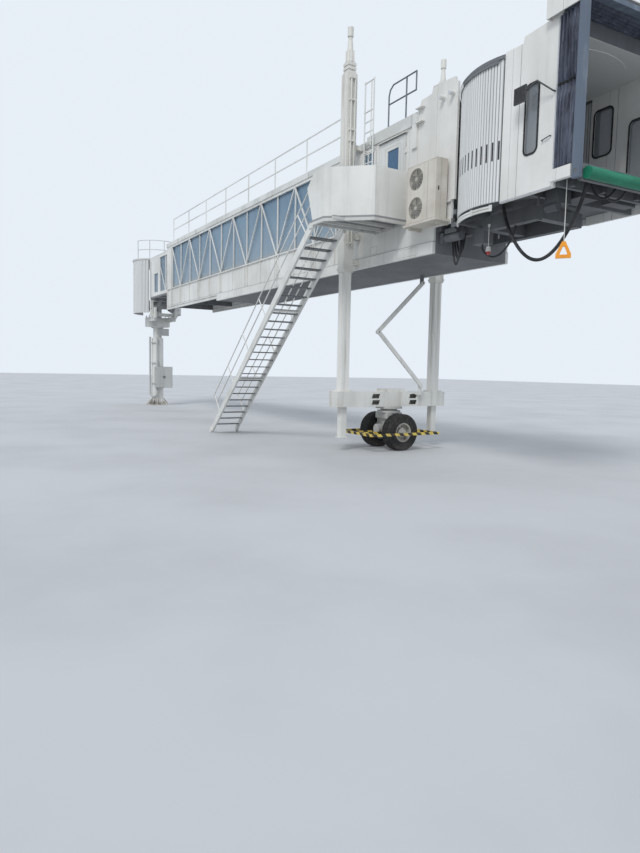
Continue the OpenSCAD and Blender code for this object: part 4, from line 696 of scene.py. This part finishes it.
def grating(name, colour, dull, pitch):
    """Pressed grating: bright bars, with the openings between them painted dark as shade."""
    f = Finish(name, Specular_IOR_Level=0.5)
    bars = []
    for axis, gap in ((f.x, pitch), (f.y, pitch * 1.5)):
        bars.append(f.between(f.node("ShaderNodeMath", {"operation": "PINGPONG"},
                                     {0: axis, 1: gap / 2}), gap * 0.11, gap * 0.16))
    shaded_hole = bars[0] * bars[1]
    dulled = f.between(f.noise(7, 5), 0.4, 0.7)
    # The openings are painted dark grey, as shade seen through the grating.
    body = f.mix(shaded_hole * 0.7, f.mix(dulled * 0.5, colour, dull), tint(70, 72, 74))
    return f.feed(body, 0.45 + dulled * 0.2, metal=0.5 - shaded_hole * 0.4, height=1 - shaded_hole, depth=0.006,
                  strength=0.7)


wear("stair_treads", grating("tread_zinc", tint(150, 153, 155), tint(104, 106, 108), 0.033))

# The air conditioner
# Powder-coated sheet casing, yellowed by sun, with two fans behind wire guards.
f = Finish("casing_coat", Specular_IOR_Level=0.4)
yellowed = f.between(f.noise(1.6, 4), 0.35, 0.7)
drips = f.between(f.noise(9, 5, stretch=(1, 1, 0.08)), 0.45, 0.8)
across = (f.y > -1.52) * (f.y < -1.514) + (f.z > 6.44) * (f.z < 6.446) * (f.y < -1.5)
front_joints = seam(f, (25.77, 26.5, 5.8, 7.11), (26.51, 26.8, 5.8, 7.11)) * (f.y < -1.64)
grip = (f.y > -1.6) * (f.y < -1.56) * (f.z > 6.4) * (f.z < 6.5) * (f.x > 26.8)
lines = (across * (f.x > 26.8)) + front_joints
body = f.mix(yellowed * 0.5 + drips * 0.25, tint(208, 203, 193), tint(174, 166, 151))
body = f.mix(lines * 0.7, body, tint(104, 100, 92))
wear("air_conditioner",
     f.feed(f.mix(grip, body, tint(56, 54, 50)), 0.5 + drips * 0.1,
            height=f.noise(180, 2) * 0.2 - lines - grip, depth=0.003, strength=0.4))

# The fan guards
# Rings and spokes of plastic-coated wire over each fan, and the five-bladed fan behind.
ac_face, fan_x, fan_r = -1.65, 26.08, 0.25
guard_coat = painted("guard_coat", tint(186, 182, 172), tint(140, 136, 126), rust=0.1)
blade_coat = painted("blade_coat", tint(92, 94, 96), tint(60, 60, 60), rust=0.05, gloss=0.55)
casing_foot, casing_height = 5.78, 1.35
for k, up in enumerate((0.26, 0.75)):
    fan_z = casing_foot + up * casing_height
    bm = bmesh.new()
    for ring in range(1, 9):
        radius = fan_r * ring / 8
        wire = bmesh.ops.create_circle(bm, segments=6, radius=0.004)["verts"]
        bmesh.ops.rotate(bm, verts=wire, cent=(0, 0, 0), matrix=Matrix.Rotation(math.pi / 2, 3, "Y"))
        bmesh.ops.translate(bm, verts=wire, vec=(0, 0, radius))
        wire_edges = list({e for v in wire for e in v.link_edges})
        bmesh.ops.spin(bm, geom=wire_edges, cent=(0, 0, 0), axis=(0, 1, 0), angle=2 * math.pi,
                       steps=40, use_merge=True)
    for spoke in range(8):
        made = bmesh.ops.create_cube(bm, size=1)["verts"]
        bmesh.ops.scale(bm, verts=made, vec=(2 * fan_r, 0.006, 0.006))
        bmesh.ops.rotate(bm, verts=made, cent=(0, 0, 0),
                         matrix=Matrix.Rotation(spoke * math.pi / 8, 3, "Y"))
    hub = bmesh.ops.create_cone(bm, cap_ends=True, segments=24, radius1=0.05, radius2=0.04,
                                depth=0.02)["verts"]
    bmesh.ops.rotate(bm, verts=hub, cent=(0, 0, 0), matrix=Matrix.Rotation(math.pi / 2, 3, "X"))
    bmesh.ops.translate(bm, verts=bm.verts, vec=(fan_x, ac_face + 0.012, fan_z))
    new_piece("fan_guard_%d" % k, bm, "outer_tunnel", guard_coat)
    bm = bmesh.new()
    for blade in range(5):
        made = bmesh.ops.create_grid(bm, x_segments=4, y_segments=6, size=0.5)["verts"]
        bmesh.ops.scale(bm, verts=made, vec=(0.14, 0.17, 1))
        for v in made:
            v.co.z = v.co.x * 0.35
        bmesh.ops.translate(bm, verts=made, vec=(0, 0.135, 0))
        bmesh.ops.rotate(bm, verts=made, cent=(0, 0, 0),
                         matrix=Matrix.Rotation(blade * 2 * math.pi / 5, 3, "Z"))
    bmesh.ops.solidify(bm, geom=bm.faces, thickness=0.004)
    hub = bmesh.ops.create_cone(bm, cap_ends=True, segments=24, radius1=0.055, radius2=0.055,
                                depth=0.04)["verts"]
    bmesh.ops.rotate(bm, verts=bm.verts, cent=(0, 0, 0), matrix=Matrix.Rotation(math.pi / 2, 3, "X"))
    bmesh.ops.translate(bm, verts=bm.verts, vec=(fan_x, ac_face + 0.034, fan_z))
    new_piece("fan_%d" % k, bm, "outer_tunnel", blade_coat)

# The slewing ring and its drive
# Rolled ring and box beams under the cab with the drive motor, oily and dusty.
def rail_white(f):
    """The curtain's two bottom rails are white, apart from their brackets."""
    radius = f.node("ShaderNodeMath", {"operation": "SQRT"},
                    {0: (f.x - cab_centre) * (f.x - cab_centre) + f.y * f.y})
    return (radius > 1.626) * (radius < 1.67) * (f.z > 5.595) * (f.z < 5.7), tint(224, 224, 220)


wear("cab_slew_ring",
     painted("slew_paint", tint(104, 106, 108), tint(60, 60, 60), rust=0.45, runs=0.5, gloss=0.5,
             extra=rail_white))

# The ends of the curtain's rails
# Two more lengths of white rolled rail that carry the curtain on round the front, with
# the splice plates that join them to the first lengths.
rail_radius, rail_depth, rail_high = 1.63, 0.036, 0.042
bm = bmesh.new()
for z in (5.6, 5.655):
    made = bmesh.ops.create_grid(bm, x_segments=1, y_segments=1, size=0.5)
    place(bm, made["verts"], (rail_depth, rail_high, 1), (("X", 90),),
          (rail_radius + rail_depth / 2, 0, z + rail_high / 2))
    bmesh.ops.rotate(bm, verts=made["verts"], cent=(0, 0, 0),
                     matrix=Matrix.Rotation(math.radians(262.02), 3, "Z"))
    profile = list({f_ for v in made["verts"] for f_ in v.link_faces})
    bmesh.ops.spin(bm, geom=profile, cent=(0, 0, 0), axis=(0, 0, 1), angle=math.radians(18.9), steps=20)
for degrees in (262, 280.4):
    made = bmesh.ops.create_cube(bm, size=1)["verts"]
    place(bm, made, (0.012, 0.07, 0.125), (), (rail_radius + rail_depth + 0.0065, 0, 5.648))
    bmesh.ops.rotate(bm, verts=made, cent=(0, 0, 0), matrix=Matrix.Rotation(math.radians(degrees), 3, "Z"))
bmesh.ops.translate(bm, verts=bm.verts, vec=(cab_centre, 0, 0))
new_piece("curtain_rail_ends", bm, "outer_tunnel",
          painted("rail_end_paint", tint(224, 224, 220), tint(168, 166, 158), rust=0.3))

# The curtain's end roller and the warning lamp
# A white nylon roller in a black rubber rim at the rails' end, and a thin galvanised rod
# on the slewing beam with a lamp, white above and red below.
bm = bmesh.new()
turn_out = math.radians(223)
end_x, end_y = cab_centre + 1.648 * math.cos(turn_out), 1.648 * math.sin(turn_out)
away = Vector((math.sin(turn_out), -math.cos(turn_out), 0))
hub = Vector((end_x, end_y, 5.65)) + away * 0.004
bar(bm, hub, hub + away * 0.03, 0.095, 32)
new_piece("curtain_roller_rim", bm, "outer_tunnel", dark_coat)
lamp_coat = moulded("lamp_white", tint(224, 224, 220), tint(170, 166, 158), 0.5,
                    (18, 4, 0.4, 0.7), 0.5, (0.35, 0.3), (120, 2), 0.0006)
bm = bmesh.new()
bar(bm, hub + away * 0.029, hub + away * 0.045, 0.066, 32)
rod_x, rod_y = 27.6, -0.745
bar(bm, (rod_x, rod_y, 5.11), (rod_x, rod_y, 5.0), 0.045, 32, 0.06)
bar(bm, (rod_x, rod_y, 5.1), (rod_x, rod_y, 5.6), 0.009, 12)
block(bm, (27.57, -0.7545, 5.55), (27.63, -0.7305, 5.61), 0.002)
new_piece("roller_and_lamp", bm, "outer_tunnel", lamp_coat)
red_coat = moulded("lamp_red", tint(176, 44, 40), tint(120, 60, 54), 0.55,
                   (18, 4, 0.4, 0.7), 0.5, (0.25, 0.3), (120, 2), 0.0006)
bm = bmesh.new()
bar(bm, (rod_x, rod_y, 5.0003), (rod_x, rod_y, 4.93), 0.058, 32, 0.03)
new_piece("warning_lamp", bm, "outer_tunnel", red_coat)

# The bogie, its bumper frame and wheels
# Cast and welded steering bogie in worn grey paint, striped warning bars, and two solid
# rubber tyres on painted steel rims.
wear("bogie_frame",
     painted("bogie_paint", tint(196, 197, 194), tint(112, 108, 100), rust=0.5, runs=0.5, foot=1.0))
f = Finish("warning_paint", Specular_IOR_Level=0.45)
stripe = f.node("ShaderNodeMath", {"operation": "FRACT"}, {0: (f.x + f.y + f.z) * 3.2}) > 0.5
chips = f.between(f.noise(22, 6), 0.6, 0.68)
dirt = f.between(f.noise(4, 5), 0.4, 0.7)
body = f.mix(stripe, tint(222, 196, 90), tint(34, 34, 34))
body = f.mix(dirt * 0.35, body, tint(120, 114, 104))
wear("bumper_frame",
     f.feed(f.mix(chips * 0.8, body, tint(120, 88, 64)), 0.5 + chips * 0.3,
            height=f.noise(90, 3) - chips, depth=0.003, strength=0.4))


def rubber(name, centre, colour, dust):
    """Solid tyre rubber: grooved tread with painted shade in the grooves, ringed sidewall, road dust."""
    f = Finish(name, Specular_IOR_Level=0.35)
    radius = f.node("ShaderNodeMath", {"operation": "SQRT"},
                    {0: f.y * f.y + (f.z - centre[2]) * (f.z - centre[2])})
    turn = f.node("ShaderNodeMath", {"operation": "ARCTAN2"}, {0: f.z - centre[2], 1: f.y}) * (60 / math.pi)
    block = f.node("ShaderNodeMath", {"operation": "PINGPONG"}, {0: turn + f.x * 9, 1: 0.5})
    # Mask of the tread's grooves, painted near black as shade in them.
    tread = f.between(radius, 0.505, 0.515) * (1 - f.between(block, 0.06, 0.12))
    rings = f.node("ShaderNodeMath", {"operation": "PINGPONG"}, {0: radius, 1: 0.012}) * 40
    grit = f.between(f.noise(12, 6), 0.4, 0.7)
    low = 1 - f.between(f.z, 0.0, 0.25)
    body = f.mix(grit * 0.35 + low * 0.35, colour, dust)
    return f.feed(f.mix(tread * 0.6, body, tint(10, 10, 10)), 0.72 + grit * 0.15,
                  height=rings - tread * 3 + f.noise(80, 3) * 0.3, depth=0.006, strength=0.5)


wheels, axle_z = (("front", 23.65), ("rear", 22.55)), 0.53
for side, x in wheels:
    wear("tyre_" + side, rubber("tyre_rubber_" + side, (x, 0, axle_z), tint(38, 38, 39), tint(96, 92, 86)))
    wear("rim_" + side,
         painted("rim_paint_" + side, tint(206, 206, 200), tint(120, 112, 100), rust=0.6, foot=0.9))

# The wheel nuts
# Two rings of zinc-plated nuts on each rim's disc, and a domed cap on the hub.
for side, x in wheels:
    bm = bmesh.new()
    for way in (-1, 1):
        for i in range(10):
            angle = math.radians(i * 36)
            hex_bolt(bm, (x + way * 0.02, 0.175 * math.cos(angle),
                          axle_z + 0.175 * math.sin(angle)), (way, 0, 0), 0.016)
        for i in range(6):
            angle = math.radians(i * 60)
            hex_bolt(bm, (x + way * 0.12, 0.098 * math.cos(angle),
                          axle_z + 0.098 * math.sin(angle)), (way, 0, 0), 0.011)
    new_piece("wheel_nuts_" + side, bm, "wheel_" + side, zinc_coat)

# The cab
# Steel floor on a turning ring, flat side walls, slat curtains and a dark roof edge; the
# near wall has one tall window, and the far wall two.
wear("cab_floor",
     painted("cab_floor_paint", tint(110, 112, 114), tint(66, 66, 66), rust=0.4, gloss=0.6, deck=5.99))
wear("cab_walls",
     painted("cab_wall_paint", tint(232, 231, 227), tint(190, 188, 181), rust=0.08, runs=0.3, dents=0.3,
                          panels=[(28.9, 29.12, 5.6, 8.72), (29.12, 30.2, 5.6, 9.2)]))
# Inside the cab the roof's underside is painted near white, partly as its own paint and partly as painted
# light that brightens the cab's interior.
wear("cab_roof", painted("cab_roof_paint", tint(112, 114, 118), tint(74, 74, 76), rust=0.1, gloss=0.55,
                         extra=lambda f: ((f.z < 8.535) * (f.y > -1.5) * (f.y < 1.5), tint(222, 222, 218))))
wear("cab_glazing", glazed("cab_glass_tint", tint(150, 154, 156), tint(112, 118, 124), 0.8))

# The seals round the cab's windows
# Black rubber profile pressed over the edge of each opening, inside and outside.
seal_coat = moulded("seal_rubber", tint(34, 35, 37), tint(88, 90, 92), 0.35,
                    (18, 5, 0.4, 0.75), 0.5, (0.6, 0.2), (120, 2), 0.001)
bm = bmesh.new()
for x0, x1, z0, z1, faces in ((1.17, 1.5, 6.47, 7.77, (-1.55, -1.49)),
                              (0.24, 0.72, 7.18, 8.2, (1.55, 1.49)), (1.16, 1.68, 6.48, 7.7, (1.55, 1.49))):
    for face, out in zip(faces, (1, -1)):
        sweep = bmesh.ops.create_circle(bm, cap_ends=True, segments=32, radius=0.132)["verts"]
        place(bm, sweep, turns=(("Z", 5.625),))
        for v in sweep:
            v.co.x += math.copysign((x1 - x0) / 2 - 0.11, v.co.x)
            v.co.y += math.copysign((z1 - z0) / 2 - 0.11, v.co.y)
        glass = sweep[0].link_faces[0]
        rim = bmesh.ops.inset_individual(bm, faces=[glass], thickness=0.036)["faces"]
        bmesh.ops.delete(bm, geom=[glass], context="FACES_ONLY")
        flat = list({v for face_ in rim for v in face_.verts})
        side = math.copysign(1, face) * out
        place(bm, flat, turns=(("X", 90),), at=((x0 + x1) / 2, face - side * 0.001, (z0 + z1) / 2))
        kept = rim + list({e for face_ in rim for e in face_.edges}) + flat
        lifted = bmesh.ops.extrude_face_region(bm, geom=kept, use_keep_orig=True)["geom"]
        bmesh.ops.translate(bm, verts=[v for v in lifted if isinstance(v, bmesh.types.BMVert)],
                            vec=(0, side * 0.014, 0))
onto_cab(bm)
new_piece("window_seals", bm, "cab", seal_coat)

# The trim and fittings on the cab's near wall
# Bright aluminium angle up the wall's front edge and along its foot, a grab handle, and
# the mirror's glass on its dark back.
bright = galvanised("trim_aluminium", tint(214, 216, 218), tint(170, 172, 174))
bm = bmesh.new()
block(bm, (1.905, -1.5545, 5.8), (1.9495, -1.5495, 8.7), 0.001)
block(bm, (0.58, -1.5545, 5.715), (1.9, -1.5495, 5.745), 0.001)
onto_cab(bm)
new_piece("wall_trim", bm, "cab", bright)
bm = bmesh.new()
for a, b in (((1.64, -1.5497, 6.62), (1.64, -1.585, 6.62)),
             ((1.64, -1.585, 6.62), (1.84, -1.585, 6.655)),
             ((1.84, -1.585, 6.655), (1.84, -1.5497, 6.655))):
    bar(bm, a, b, 0.009, 12)
block(bm, (1.1, -1.7925, 7.4), (1.38, -1.7895, 7.68), 0.001)
onto_cab(bm)
new_piece("wall_handle", bm, "cab", dark_coat)
mirror = Finish("mirror_glass", Specular_IOR_Level=0.5, Metallic=1.0)
smear = mirror.between(mirror.noise(8, 5), 0.4, 0.7)
mirror_glass = mirror.feed(mirror.mix(smear * 0.4, tint(188, 194, 198), tint(150, 152, 152)),
                           0.05 + smear * 0.15)
bm = bmesh.new()
block(bm, (1.115, -1.7505, 7.415), (1.365, -1.7475, 7.665), 0.001)
onto_cab(bm)
new_piece("mirror_face", bm, "cab", mirror_glass)

# The cab's slat curtains
# Roll-formed white slats with a band of louvre slots on the near side.
wear("cab_curtain_near",
     slatted("cab_slats_near", slat_white, slat_grime, cab_centre, 73.5, 60 / 24,
             vents=(6.58, 6.95, 73, 128.5)))
wear("cab_curtain_far", slatted("cab_slats_far", slat_white, slat_grime, cab_centre, 77, 56.5 / 24))
wear("cab_fittings", painted("fitting_paint", tint(84, 86, 88), tint(52, 52, 52), rust=0.3, gloss=0.5))

# The cab's bumper and the pull handle
# A green rubber-covered tube across the threshold, and an orange moulded handle.
wear("cab_bumper", moulded("bumper_rubber", tint(24, 112, 84), tint(66, 146, 120), 0.4,
                           (5, 6, 0.45, 0.65), 0.5, (0.5, 0.25), (60, 3), 0.003, stretch=(1, 0.3, 1)))
wear("pendant_handle", moulded("handle_plastic", tint(238, 156, 40), tint(214, 128, 36), 0.45,
                               (12, 5, 0.4, 0.7), 0.6, (0.45, 0.2), (140, 2), 0.001))

# The canopy's front frame
# A blue-grey foam-rubber cushion over a steel frame that meets the aircraft.
f = Finish("front_foam", Specular_IOR_Level=0.35)
rub = f.between(f.noise(4, 6, stretch=(1, 1, 0.25)), 0.45, 0.7)
wear("canopy_frame",
     f.feed(f.mix(rub * 0.55, tint(98, 108, 122), tint(136, 146, 156)), 0.6 + rub * 0.15,
            height=f.noise(45, 4), depth=0.004, strength=0.4))

# The canopy's bellows
# Dark blue-grey coated fabric in loose vertical folds on each side, tied in at mid height,
# and a folded sheet over the top; sewn to the cab's mouth and to the front frame.
canopy_cloth = coated_fabric("canopy_cloth", tint(66, 72, 88), tint(122, 130, 146),
                             tint(30, 33, 46), strap=7.5, crumple=(6, 0.35))
front, back = 2.44, 1.951
for side, name in ((-1, "canopy_folds_near"), (1, "canopy_folds_far")):
    bm = bmesh.new()
    verts = bmesh.ops.create_grid(bm, x_segments=84, y_segments=60, size=0.5)["verts"]
    for v in verts:
        s, t = v.co.x + 0.5, v.co.y + 0.5
        tie = math.exp(-((t - 0.52) / 0.05) ** 2) if side < 0 else 0.0
        hem = min(1, 9 * s, 9 * (1 - s))
        drift = 0.9 * math.sin(3.1 * t + side) + 0.5 * math.sin(7.3 * t + 2)
        wave = math.sin(2 * math.pi * 6 * s + drift)
        wave += 0.5 * math.sin(2 * math.pi * 13 * s + 3.7 * t + 1.5 * math.sin(9 * t))
        wave = max(-1, min(1, wave * 0.8 + 0.25 * math.sin(2 * math.pi * 3 * s + 5 * t)))
        depth = 1.57 + hem * (0.042 * wave * (1 - 0.7 * tie) - 0.028 * tie)
        along = back + (front - back) * (s + 0.02 * math.sin(5 * t + 9 * s) * hem)
        v.co = on_cab(along, side * depth, 6.0 + 2.7 * t)
    bmesh.ops.solidify(bm, geom=bm.faces, thickness=0.004)
    cloth = new_piece(name, bm, None, canopy_cloth, smooth=True)
    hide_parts("canopy_bellows")
    on_cab(back, 0, 7)
    on_cab(front, 0, 7)
    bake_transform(cloth)
bm = bmesh.new()
verts = bmesh.ops.create_grid(bm, x_segments=48, y_segments=24, size=0.5)["verts"]
for v in verts:
    s, t = v.co.x + 0.5, v.co.y * 2
    wave = math.sin(2 * math.pi * 6 * s + 0.8 * math.sin(4 * t)) * min(1, 6 * s, 6 * (1 - s))
    v.co = on_cab(back + (front - back) * s, 1.57 * t, 8.835 + 0.022 * wave - 0.012 * (1 - t * t))
bmesh.ops.solidify(bm, geom=bm.faces, thickness=0.004)
cloth = new_piece("canopy_folds_top", bm, None, canopy_cloth, smooth=True)
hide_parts("canopy_bellows")
on_cab(back, 0, 7)
on_cab(front, 0, 7)
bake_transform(cloth)

# The folding cable arm
# Two flat bars with round eyes that carry the supply cable from the tunnel to the carriage.
wear("cable_arm_upper", painted("arm_paint_upper", tint(224, 224, 220), tint(160, 157, 150), rust=0.4))
wear("cable_arm_lower", painted("arm_paint_lower", tint(224, 224, 220), tint(160, 157, 150), rust=0.4))
